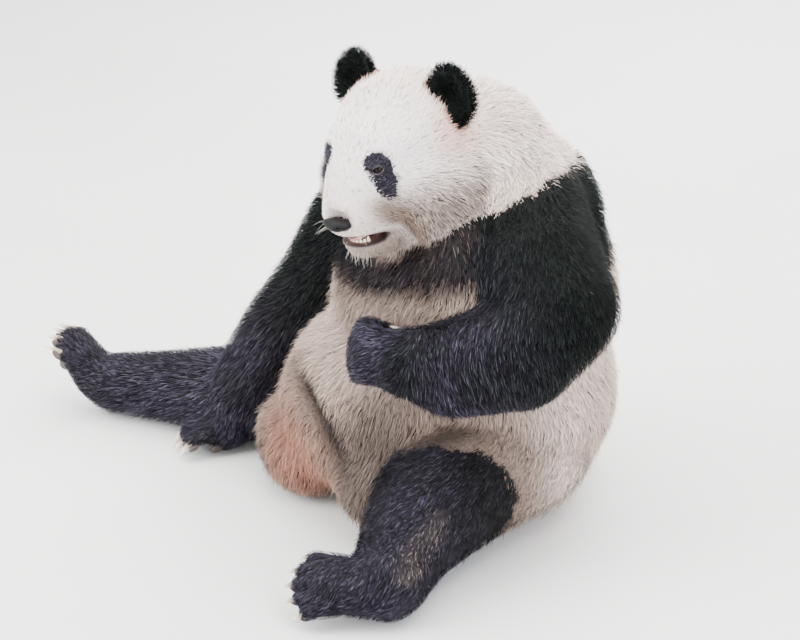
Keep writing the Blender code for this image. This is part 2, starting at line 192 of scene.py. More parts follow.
def painted(tint: Array, *layers: tuple[Array, Array]) -> Array:
    """Return a tint after each layer's colour is mixed in by the layer's share."""
    for colour, share in layers:
        tint = tint + share * (colour - tint)
    return tint


def whole_turn(sides: int) -> Array:
    """Return evenly spaced angles round a circle."""
    return np.linspace(0, 2 * math.pi, sides, endpoint=False)


def ball(rows: int, sides: int) -> Array:
    """Return a grid of unit directions, from pole to pole.

    At the angle p from the first pole and the turn t: sin p cos t, sin p sin t, cos p.

    Args:
        rows: rows of the grid, the poles among them.
        sides: directions in each row.

    Returns:
        The grid: rows, sides, and three coordinates.
    """
    polar = np.linspace(0, math.pi, rows)[:, None]
    turn = whole_turn(sides)[None, :]
    return np.stack((np.sin(polar) * np.cos(turn), np.sin(polar) * np.sin(turn), np.cos(polar) + 0 * turn), 2)


def lattice_noise(points: Array, size: float, seed: int) -> Array:
    """Smooth random values from -1 to 1 that change over about `size`.

    Each corner of a cubic lattice has a random value, made by mixing its whole-number
    place; a point takes the eased mean of the eight corners round it.

    Args:
        points: rows of places.
        size: the lattice's step.
        seed: another seed gives another pattern.

    Returns:
        One value for each point.
    """
    scaled = points / size + 1000.5
    base = np.floor(scaled).astype(np.int64)
    part = scaled - base
    part = part * part * (3 - 2 * part)
    total = np.zeros(len(points))
    for corner in range(8):
        step = np.array((corner & 1, corner >> 1 & 1, corner >> 2 & 1))
        place = (base + step).astype(np.uint64)
        mixed = place[:, 0] * np.uint64(73856093) ^ place[:, 1] * np.uint64(19349663)
        mixed ^= place[:, 2] * np.uint64(83492791) ^ np.uint64(seed * 2654435761 + 97)
        mixed = (mixed ^ (mixed >> np.uint64(15))) * np.uint64(2246822519)
        mixed = (mixed ^ (mixed >> np.uint64(13))) * np.uint64(3266489917)
        value = ((mixed ^ (mixed >> np.uint64(16))) & np.uint64(0xFFFF)) / 32767.5 - 1.0
        weight = np.prod(np.where(step == 1, part, 1 - part), axis=1)
        total += weight * value
    return total


# ---------------- meshes from arrays
@dataclass
class Net:
    """A surface as arrays: points, and faces that all have the same number of corners."""

    points: Array
    faces: Array
    maps: dict[str, Array] = field(default_factory=dict)
    values: dict[str, Array] = field(default_factory=dict)
    normals: Array | None = None

    @staticmethod
    def joined(nets: list[Net]) -> Net:
        """Return several nets with the same maps and values as one."""
        starts = np.cumsum([0] + [len(net.points) for net in nets[:-1]])
        return Net(
            np.concatenate([net.points for net in nets]),
            np.concatenate([net.faces + start for net, start in zip(nets, starts)]),
            {k: np.concatenate([net.maps[k] for net in nets]) for k in nets[0].maps},
            {k: np.concatenate([net.values[k] for net in nets]) for k in nets[0].values},
        )

    @staticmethod
    def read(mesh: Mesh, corners: int) -> Net:
        """Return a mesh whose faces all have so many corners as a net."""
        points = np.empty(len(mesh.vertices) * 3)
        mesh.vertices.foreach_get("co", points)
        faces = np.empty(len(mesh.loops), int)
        mesh.loops.foreach_get("vertex_index", faces)
        return Net(points.reshape(-1, 3), faces.reshape(-1, corners))

    @property
    def corners(self) -> tuple[Array, Array, Array]:
        """Return the places of the faces' first, second and third corners."""
        return tuple(self.points[self.faces[:, at]] for at in range(3))

    @property
    def tree(self) -> BVHTree:
        """Return a tree that finds the nearest spot of the surface."""
        return BVHTree.FromPolygons(self.points.tolist(), self.faces.tolist())

    def mesh(self, name: str) -> Mesh:
        """Put the arrays into a smooth-shaded mesh.

        Args:
            name: the mesh's name.

        Returns:
            The mesh. `maps` become UV maps, one row for each corner, and `values` become
            attributes: numbers for one column, colours for four.  `normals`, if given, are
            the directions in which the points take the light.
        """
        mesh = bpy.data.meshes.new(name)
        count, corners = self.faces.shape
        mesh.vertices.add(len(self.points))
        mesh.vertices.foreach_set("co", self.points.astype(np.float32).ravel())
        mesh.loops.add(count * corners)
        mesh.loops.foreach_set("vertex_index", self.faces.astype(np.int32).ravel())
        mesh.polygons.add(count)
        mesh.polygons.foreach_set("loop_start", np.arange(0, count * corners, corners, dtype=np.int32))
        mesh.polygons.foreach_set("use_smooth", np.ones(count, bool))
        for map_name, rows in self.maps.items():
            layer = mesh.uv_layers.new(name=map_name)
            layer.uv.foreach_set("vector", rows.astype(np.float32).ravel())
        for value_name, rows in self.values.items():
            kind, key = ("FLOAT", "value") if rows.ndim == 1 else ("FLOAT_COLOR", "color")
            layer = mesh.attributes.new(value_name, kind, "POINT")
            layer.data.foreach_set(key, rows.astype(np.float32).ravel())
        mesh.update(calc_edges=True)
        if self.normals is not None:
            mesh.normals_split_custom_set_from_vertices(self.normals.astype(np.float32))
        return mesh


def grid_faces(rows: int, columns: int, closed: bool) -> Array:
    """Return the four-cornered faces of a grid of points, row by row.

    Args:
        rows: points in the first direction.
        columns: points in the second direction.
        closed: whether the last column joins the first.

    Returns:
        One row of four corners for each face.
    """
    along = np.arange(rows - 1)[:, None] * columns
    across = np.arange(columns if closed else columns - 1)[None, :]
    following = (across + 1) % columns
    corners = (along + across, along + following, along + columns + following, along + columns + across)
    return np.stack([corner.ravel() for corner in corners], axis=1)


def triangles_of(quads: Array) -> Array:
    """Return four-cornered faces as twice as many triangles."""
    return np.concatenate([quads[:, (0, 1, 2)], quads[:, (0, 2, 3)]])


def placed(name: str, data: bpy.types.ID) -> Thing:
    """Return a new object in the scene, with its mesh, lamp or camera."""
    thing = bpy.data.objects.new(name, data)
    bpy.context.scene.collection.objects.link(thing)
    return thing


def new_piece(name: str, net: Net, finish: Finish) -> Thing:
    """Make a finished piece that rides on the animal's one body.

    Args:
        name: the piece's name.
        net: its surface, in place.
        finish: what it is made of.

    Returns:
        The new object.
    """
    piece = placed(name, net.mesh(name))
    piece.data.materials.append(finish.material())
    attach(piece, "root")
    LOG.info("%s: %d faces", name, len(net.faces))
    return piece


# ---------------- finishes
def feed(node: Node, inputs: dict) -> None:
    """Link each input that is given a socket and set each that is given a value."""
    for key, value in inputs.items():
        if isinstance(value, Socket):
            node.id_data.links.new(value, node.inputs[key])
        else:
            node.inputs[key].default_value = value


def add_node(
    tree: Tree, kind: str, out: str | int, inputs: dict, stops: dict | None = None, **settings
) -> Socket:
    """Add a node, set it up and link it.

    Args:
        tree: the material's node tree.
        kind: the node's type, such as "TexNoise".
        out: the output that is wanted, by name or number.
        inputs: for each input, by name or number, a value or the socket that feeds it.
        stops: the sRGB hex colour at each place of a colour ramp, in rising order.
        **settings: the node's own settings.

    Returns:
        The wanted output.
    """
    node = tree.nodes.new("ShaderNode" + kind)
    for key, value in settings.items():
        setattr(node, key, value)
    feed(node, inputs)
    for index, (place, code) in enumerate((stops or {}).items()):
        elements = node.color_ramp.elements
        element = elements[index] if index < 2 else elements.new(place)
        element.position = place
        element.color = (*linear(code), 1.0)
    return node.outputs[out]


NOISE_RANGE = {"From Min": 0.3, "From Max": 0.7}  # where nearly all values of a noise lie


@dataclass(frozen=True, kw_only=True)
class Finish:
    """A surface finish: a Principled shader with procedural colour, roughness and bump."""

    name: str
    shader: dict[str, float | tuple]  # what is the same all over the surface
    grain: float  # of the noise, in waves to a metre
    detail: float = 3.0

    def material(self) -> bpy.types.Material:
        """Return the finish's material, made once."""
        found = bpy.data.materials.get(self.name)
        if found:
            return found
        made = bpy.data.materials.new(self.name)
        made.use_nodes = True
        tree = made.node_tree
        place = add_node(tree, "TexCoord", "Object", {})
        noise = {"Vector": place, "Scale": self.grain, "Detail": self.detail}
        noise = add_node(tree, "TexNoise", "Fac", noise)
        feed(tree.nodes["Principled BSDF"], self.shader | self.dress(tree, place, noise))
        return made

    def dress(self, tree: Tree, place: Socket, noise: Socket) -> dict:
        """Add the finish's own nodes and return what feeds the shader."""
        raise NotImplementedError


@dataclass(frozen=True, kw_only=True)
class HairFinish(Finish):
    """Hair or hide in the colours of the markings, broken up by fine noise."""

    lift: Span = (0.86, 1.12)  # of the darkest and the palest streak

    def dress(self, tree: Tree, place: Socket, noise: Socket) -> dict:
        """Scale the point's own tint by the noise."""
        tint = add_node(tree, "Attribute", "Color", {}, attribute_name="tint")
        streaks = {"Value": noise, **NOISE_RANGE, "To Min": self.lift[0], "To Max": self.lift[1]}
        lift = {0: tint, "Scale": add_node(tree, "MapRange", "Result", streaks)}
        return {"Base Color": add_node(tree, "VectorMath", "Vector", lift, operation="SCALE")}


@dataclass(frozen=True, kw_only=True)
class HideFinish(HairFinish):
    """Hide that is matt under the hair and moist where it is bare."""

    def dress(self, tree: Tree, place: Socket, noise: Socket) -> dict:
        """Add a fine pebbled grain and the gloss of bare rims."""
        inputs = super().dress(tree, place, noise)
        bare = add_node(tree, "Attribute", "Fac", {}, attribute_name="bare")
        grain = add_node(tree, "TexVoronoi", "Distance", {"Vector": place, "Scale": 700.0})
        bump = {"Height": grain, "Strength": 0.35, "Distance": 0.6 * MM}
        inputs["Normal"] = add_node(tree, "Bump", "Normal", bump)
        wet = {"Value": bare, "To Min": 0.9, "To Max": 0.42}
        inputs["Roughness"] = add_node(tree, "MapRange", "Result", wet)
        return inputs


@dataclass(frozen=True, kw_only=True)
class GrainFinish(Finish):
    """Clouds of two colours over a grain of cells: leather, wet flesh or plaster."""

    colours: tuple[str, str]
    cells: float = 0.0  # to a metre
    relief: Span = (0.0, 0.0)  # strength and height of the cells
    raised: bool = True  # whether the cells' middles stand up
    moist: Span | None = None  # roughness of dark and light clouds

    def dress(self, tree: Tree, place: Socket, noise: Socket) -> dict:
        """Colour by the clouds, dent by the cells, gloss by the clouds."""
        stops = dict(zip(NOISE_RANGE.values(), self.colours))
        inputs = {"Base Color": add_node(tree, "ValToRGB", "Color", {"Fac": noise}, stops)}
        if self.cells:
            cells = add_node(tree, "TexVoronoi", "Distance", {"Vector": place, "Scale": self.cells})
            bump = {"Height": cells, "Strength": self.relief[0], "Distance": self.relief[1]}
            inputs["Normal"] = add_node(tree, "Bump", "Normal", bump, invert=self.raised)
        if self.moist:
            gloss = {"Value": noise, **NOISE_RANGE, "To Min": self.moist[0], "To Max": self.moist[1]}
            inputs["Roughness"] = add_node(tree, "MapRange", "Result", gloss)
        return inputs


@dataclass(frozen=True, kw_only=True)
class AlongFinish(Finish):
    """Colours that run with a piece's own `along` value: horn, enamel, hair or iris."""

    stops: dict[float, str]
    grain: float = 500.0
    detail: float = 4.0
    waver: float = 0.36  # how far the noise moves the colours
    centre: float = 0.18  # what that adds on average, taken off again
    scratch: float = 0.3

    def dress(self, tree: Tree, place: Socket, noise: Socket) -> dict:
        """Move the ramp's place by the noise and scratch the surface with it."""
        along = add_node(tree, "Attribute", "Fac", {}, attribute_name="along")
        moved = add_node(tree, "Math", 0, {0: noise, 1: self.waver, 2: along}, operation="MULTIPLY_ADD")
        centred = add_node(tree, "Math", 0, {0: moved, 1: self.centre}, operation="SUBTRACT")
        inputs = {"Base Color": add_node(tree, "ValToRGB", "Color", {"Fac": centred}, self.stops)}
        if self.scratch:
            bump = {"Height": noise, "Strength": self.scratch, "Distance": 0.3 * MM}
            inputs["Normal"] = add_node(tree, "Bump", "Normal", bump)
        return inputs


# Guard hair, grown in locks: keratin with a soft streaky gloss, colder on black hair.
CREAM_FUR = HairFinish(
    name="cream_guard_hair_grown_in_locks", grain=420.0, detail=2.0,
    shader={"Roughness": 0.65, "Specular IOR Level": 0.2},
)
BLACK_FUR = HairFinish(
    name="black_guard_hair_grown_in_locks", grain=420.0, detail=2.0,
    shader={"Roughness": 0.5, "Specular IOR Level": 0.04, "Specular Tint": (*linear("DAD4F4"), 1.0)},
)
# Hide under the coat: mottled matt under-fur, bare dark rims.
HIDE = HideFinish(
    name="hide_with_matt_under_fur", shader={"Specular IOR Level": 0.35},
    grain=160.0, detail=4.0, lift=(0.75, 1.1),
)
# Nose leather: black hairless skin, moist, pebbled by cells about 1.2 mm wide.
NOSE_LEATHER = GrainFinish(
    name="moist_pebbled_nose_leather", shader={"Specular IOR Level": 0.14},
    colours=("070708", "121213"), grain=120.0, cells=800.0, relief=(0.5, 0.5 * MM), moist=(0.42, 0.6),
)
# Paw pad: thick dark brown sole leather, dry, cracked into cells about 2 mm wide.
PAD_LEATHER = GrainFinish(
    name="worn_cracked_paw_pad", shader={"Roughness": 0.7},
    colours=("2C2523", "4C413B"), grain=90.0, detail=4.0, cells=480.0, relief=(0.6, 0.6 * MM),
)
# Wet mucous flesh: mottled pinks, glossy, with papillae about a millimetre apart.
TONGUE_FLESH = GrainFinish(
    name="wet_tongue_flesh",
    shader={"Roughness": 0.3, "Subsurface Weight": 0.1, "Subsurface Scale": 2 * MM},
    colours=("9A6460", "C79A94"), grain=220.0, cells=1000.0, relief=(0.3, 0.3 * MM), raised=False,
)
# Horn and enamel: stained where they grow out, worn pale at the tip.
CLAW_HORN = AlongFinish(
    name="worn_claw_horn", shader={"Roughness": 0.38}, stops={0.0: "8A7C6C", 0.4: "C9BFB0", 0.95: "DED7CB"}
)
TOOTH_ENAMEL = AlongFinish(
    name="stained_tooth_enamel", shader={"Roughness": 0.25},
    stops={0.0: "A98A58", 0.4: "DCC79E", 0.95: "EDE3CC"}, grain=300.0,
)
WHISKER = AlongFinish(
    name="stiff_whisker_hair", shader={"Roughness": 0.4},
    stops={0.0: "8C8074", 0.4: "E8E0D4", 0.95: "F2ECE4"}, grain=200.0,
)
# A living eye: black pupil, dark brown rayed iris and brownish white, under clear tears.
# Here `along` is the angle from the middle of the pupil, as a share of a half turn.
WET_EYE = AlongFinish(
    name="wet_brown_eye",
    shader={
        "Roughness": 0.2, "Specular IOR Level": 0.05,
        "Coat Weight": 0.18, "Coat Roughness": 0.02, "Coat IOR": 1.38,
    },
    stops={0.0: "040303", 0.075: "050404", 0.09: "0D0604", 0.15: "150B06", 0.19: "060403", 0.23: "1C1613"},
    grain=900.0, detail=3.0, waver=0.02, centre=0.0, scratch=0.0,
)
# Studio floor: pale sealed plaster with the faintest cloudiness.
PLASTER_FLOOR = GrainFinish(
    name="pale_sealed_plaster", shader={"Roughness": 0.75}, colours=("D9D8D6", "E0DFDD"), grain=1.2
)


# ---------------- what the solids say
PAIRS = ("ear", "upper_arm", "forearm", "hand", "thigh", "shin", "foot")
FLESH = ("head", "lower_jaw", "neck", "trunk", "tail")
FLESH += tuple(f"{part}_{side.word}" for part in PAIRS for side in Side)


def share_of(owners: Array, *families: str) -> Array:
    """Return how much of each point belongs to the named families of solids."""
    return owners[:, [at for at, name in enumerate(FLESH) if name.startswith(families)]].sum(axis=1)


def solid_net(node: Thing) -> Net:
    """Return a solid's mesh as a net, with the points that coincide made one."""
    net = Net.read(node.data, 3)
    keys = np.round(net.points / 1e-6).astype(np.int64)
    _, first, merged = np.unique(keys, axis=0, return_index=True, return_inverse=True)
    return Net(net.points[first], merged.ravel()[net.faces])


def point_normals(points: Array, triangles: Array) -> Array:
    """Return each point's normal: the sum of its triangles' area vectors, made unit."""
    first, second, third = (points[triangles[:, corner]] for corner in range(3))
    area = np.cross(second - first, third - first)
    total = np.zeros_like(points)
    for axis in range(3):
        for corner in range(3):
            total[:, axis] += np.bincount(triangles[:, corner], area[:, axis], len(points))
    return unit(total)


@dataclass
class Frame:
    """A right-handed frame: an origin and unit axes as the rows of a matrix."""

    origin: Array
    axes: Array

    def local(self, points: Array) -> Array:
        """Return world places in this frame."""
        return (points - self.origin) @ self.axes.T

    def world(self, points: Array) -> Array:
        """Return this frame's places, which may be a grid, in the world."""
        points = np.asarray(points)
        return (points.reshape(-1, 3) @ self.axes + self.origin).reshape(points.shape)


class Anatomy:
    """Landmarks of the animal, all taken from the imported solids.

    The face frame starts midway between the eyes: +X to the animal's left, +Y to the
    back of its head and +Z to its crown.
    """

    EAR_RISE = math.radians(34.7)  # how far the line from nose to ears rises from the face's level

    def __init__(self, nodes: dict[str, Thing]) -> None:
        """Read the solids and find the face's frame.

        Args:
            nodes: the solids' objects by name.
        """
        self.nets = {name: solid_net(node) for name, node in nodes.items()}
        self.centres = {name: self._centre(name) for name in nodes}
        left, right = self.centres["eye_left"], self.centres["eye_right"]
        across = unit(left - right)
        ears = (self.centres["ear_left"] + self.centres["ear_right"]) / 2
        line = ears - self.centres["nose"]
        line = unit(line - across * (line @ across))
        over = np.cross(across, line)
        back = line * math.cos(self.EAR_RISE) - over * math.sin(self.EAR_RISE)
        self.face = Frame((left + right) / 2, np.array((across, back, np.cross(across, back))))

    @staticmethod
    def _centre(name: str) -> Array:
        """Return the middle of a solid's box."""
        low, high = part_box(name)
        return np.array((low + high) / 2)

    def toward(self, start: str, end: str) -> Array:
        """Return the direction from the middle of one solid to that of another."""
        return unit(self.centres[end] - self.centres[start])


def claw_curve(points: Array, paw: Array) -> list[Array]:
    """Fit a parabola along a claw.

    Args:
        points: the points of the claw's solid.
        paw: the middle of the paw that it grows on.

    Returns:
        For each axis the parabola's coefficients, over a share of 0 at the root to 1 at
        the tip.
    """
    middle = points.mean(axis=0)
    _, _, ways = np.linalg.svd(points - middle)
    heading = ways[0] * np.sign(ways[0] @ (middle - paw))
    reach = (points - middle) @ heading
    share = (reach - reach.min()) / (reach.max() - reach.min())
    return [np.polyfit(share, points[:, axis], 2) for axis in range(3)]


@dataclass(frozen=True)
class Pad:
    """A cushion of bare leather on a paw's sole."""

    middle: Array
    axes: Array
    size: Triple

    def reach(self, points: Array) -> Array:
        """Return how far points lie from the middle, 1 on the pad's surface."""
        return np.linalg.norm((points - self.middle) @ self.axes.T / self.size, axis=1)


class Paws:
    """Toes and pads of the paws, worked out from the claws."""

    NAMES = ("hand_left", "hand_right", "foot_left", "foot_right")
    CLOSED = "hand_left"  # a fist, which hides its toes and pads
    TOE_PAD = (8.5 * MM, 11.0 * MM, 5.0 * MM)
    SOLE_PAD = (30.0 * MM, 13.0 * MM, 6.0 * MM)

    def __init__(self, anatomy: Anatomy, tree: BVHTree) -> None:
        """Find where toes and pads lie.

        Args:
            anatomy: the landmarks.
            tree: the flesh's surface, which the pads are laid on.
        """
        self.toes = []
        self.pads = {}
        self.claws = []
        for paw in self.NAMES:
            centre = anatomy.centres[paw]
            curves = [claw_curve(anatomy.nets[f"claw_{paw}_{at}"].points, centre) for at in range(1, 6)]
            roots = np.array([[fit[2] for fit in curve] for curve in curves])
            self.claws.append(np.array([[np.polyval(fit, 0.5) for fit in curve] for curve in curves]))
            if paw == self.CLOSED:
                continue
            forward = unit(roots.mean(axis=0) - centre)
            palm = unit(np.array([[fit[0] for fit in curve] for curve in curves])).sum(axis=0)
            palm = unit(palm - forward * (palm @ forward))
            axes = np.array((np.cross(forward, palm), forward, palm))
            self.toes.append((roots, forward))
            pads = [self._pad(tree, root - 0.008 * forward, axes, self.TOE_PAD) for root in roots]
            middle = roots.mean(axis=0) - 0.042 * forward
            pads.append(self._pad(tree, middle, axes, self.SOLE_PAD))
            self.pads[paw] = [pad for pad in pads if pad is not None]

    @staticmethod
    def _pad(tree: BVHTree, place: Array, axes: Array, size: tuple) -> Pad | None:
        """Return the pad that sits on the sole below a place, if the sole is met there."""
        start = place + 0.09 * axes[2]
        hit = tree.ray_cast(Vector(start), Vector(-axes[2]), 0.12)[0]
        return None if hit is None else Pad(np.array(hit) - 3 * MM * axes[2], axes, size)

    def groove(self, points: Array) -> Array:
        """Return 1 on the lines between toes, falling to 0 on the toes."""
        total = np.zeros(len(points))
        for roots, forward in self.toes:
            offset = points[:, None] - roots[None]
            along = np.clip(offset @ forward, -0.050, 0.004)
            gap = np.sort(np.linalg.norm(offset - along[..., None] * forward, axis=2), axis=1)
            line = bell(gap[:, 1] - gap[:, 0], 0, 0.0055) * ease(0.036, 0.024, gap[:, 0])
            total = np.maximum(total, line * ease(-0.050, -0.032, along.mean(axis=1)))
        return total

    def pad_reach(self, points: Array) -> Array:
        """Return how far points lie from the nearest pad, 1 on its surface."""
        return np.min([pad.reach(points) for pads in self.pads.values() for pad in pads], axis=0)

    def claw_gap(self, points: Array) -> Array:
        """Return how far points lie from the middle of the nearest claw."""
        return np.min([gaps(points, claw) for claws in self.claws for claw in claws], axis=0)

    def build(self) -> None:
        """Make each paw's pads: x, y, z on flattened balls."""
        ways = ball(16, 24)
        for paw, pads in self.pads.items():
            nets = []
            for pad in pads:
                world = (ways * pad.size) @ pad.axes + pad.middle
                world[..., 2] = np.maximum(world[..., 2], FLOOR_GAP)
                nets.append(closed_ball(world))
            new_piece(f"pads_{paw}", Net.joined(nets), PAD_LEATHER)


# ---------------- surfaces that spread values
class Web:
    """The edges of a net, along which values spread from point to point."""

    def __init__(self, net: Net) -> None:
        """Find the edges of `net`."""
        pairs = np.stack((net.faces, np.roll(net.faces, -1, axis=1)), axis=2).reshape(-1, 2)
        pairs = np.unique(np.sort(pairs, axis=1), axis=0)
        self.count = len(net.points)
        self.start = np.concatenate((pairs[:, 0], pairs[:, 1]))
        self.end = np.concatenate((pairs[:, 1], pairs[:, 0]))
        self.degree = np.maximum(np.bincount(self.start, minlength=self.count), 1)

    def mean(self, values: Array) -> Array:
        """Return the mean of each point's neighbours."""
        flat = values.reshape(self.count, -1)
        sums = [np.bincount(self.start, flat[self.end, at], self.count) for at in range(flat.shape[1])]
        return (np.stack(sums, axis=1) / column(self.degree)).reshape(values.shape)

    def spread(self, values: Array, rounds: int, share: float = 0.5) -> Array:
        """Return `values` after moving by `share` to the neighbours' mean, `rounds` times."""
        for _ in range(rounds):
            values = values + share * (self.mean(values) - values)
        return values

    def relaxed(self, points: Array, rounds: int) -> Array:
        """Smooth places without shrinking them: each step in is followed by a step out."""
        for _ in range(rounds):
            points = self.spread(points, 1, 0.55)
            points = self.spread(points, 1, -0.57)
        return points

    def islands(self) -> Array:
        """Return for each point the lowest number among all the points joined to it."""
        labels = np.arange(self.count)
        while True:
            lower = labels.copy()
            np.minimum.at(lower, self.start, labels[self.end])
            lower = lower[lower]
            if np.array_equal(lower, labels):
                return labels
            labels = lower


def melted(nets: list[Net], voxel: float) -> Net:
    """Melt closed nets into one closed skin of even four-cornered faces.

    Args:
        nets: closed surfaces that may overlap.
        voxel: the size of the faces.

    Returns:
        The outer skin, without crumbs or inner bubbles.
    """
    mesh = Net.joined(nets).mesh("melting")
    piece = placed("melting", mesh)
    remesh = piece.modifiers.new("melt", "REMESH")
    remesh.mode = "VOXEL"
    remesh.voxel_size = voxel
    graph = bpy.context.evaluated_depsgraph_get()
    net = Net.read(piece.evaluated_get(graph).to_mesh(), 4)
    bpy.data.objects.remove(piece)
    bpy.data.meshes.remove(mesh)
    labels = Web(net).islands()
    keep = labels == np.bincount(labels).argmax()
    renumber = np.cumsum(keep) - 1
    return Net(net.points[keep], renumber[net.faces[keep[net.faces[:, 0]]]])


# ---------------- how the coat grows
@dataclass(frozen=True)
class Growth:
    """How the coat grows somewhere, in millimetres."""

    depth: float  # from the skin to the tips
    length: float  # of a lock
    width: float  # of a lock
    spacing: float  # from one root to the next
    clump: float = 0.4  # how much the tips of neighbours close up

    @property
    def row(self) -> Array:
        """Return the growth as one row of metres, the clump share last."""
        return np.array((self.depth * MM, self.length * MM, self.width * MM, self.spacing * MM, self.clump))


GROWTH = {
    "head": Growth(7, 13, 1.0, 2.4, 0.08),
    "lower_jaw": Growth(5, 12, 0.9, 2.0, 0.25),
    "neck": Growth(11, 20, 1.3, 3.4, 0.12),
    "trunk": Growth(14, 25, 1.4, 4.1, 0.2),
    "tail": Growth(12, 30, 1.8, 4.2, 0.3),
    "ear": Growth(6, 13, 0.8, 1.5, 0.1),
    "upper_arm": Growth(12, 21, 1.3, 3.6, 0.15),
    "forearm": Growth(12, 24, 1.2, 3.4, 0.3),
    "hand": Growth(7, 17, 1.1, 2.5, 0.35),
    "thigh": Growth(12, 23, 1.4, 3.8, 0.2),
    "shin": Growth(9, 19, 1.3, 3.3, 0.2),
    "foot": Growth(6, 14, 1.2, 2.6, 0.25),
}
MUZZLE_GROWTH = Growth(2.0, 5.5, 0.7, 1.5, 0.05)
TOE_GROWTH = Growth(3, 8, 0.9, 1.9, 0.2)
LIP_GROWTH = Growth(1.4, 4.5, 0.6, 1.3, 0.05)
EYE_GROWTH = Growth(2.5, 6.0, 0.7, 1.5, 0.05)
CHEEK_GROWTH = Growth(13, 21, 1.0, 2.6, 0.2)
CREASE_GROWTH = Growth(8, 11, 1.2, 3.0, 0.2)
BELLY_GROWTH = Growth(16, 27, 1.5, 4.0, 0.4)


@dataclass(frozen=True)
class Lie:
    """Which way the coat lies: away from a pole, plus a steady drift."""

    pole: Array
    spread: float
    drift: Triple

    def at(self, points: Array) -> Array:
        """Return the lie's direction at each point."""
        return self.spread * unit(points - self.pole) + np.array(self.drift)


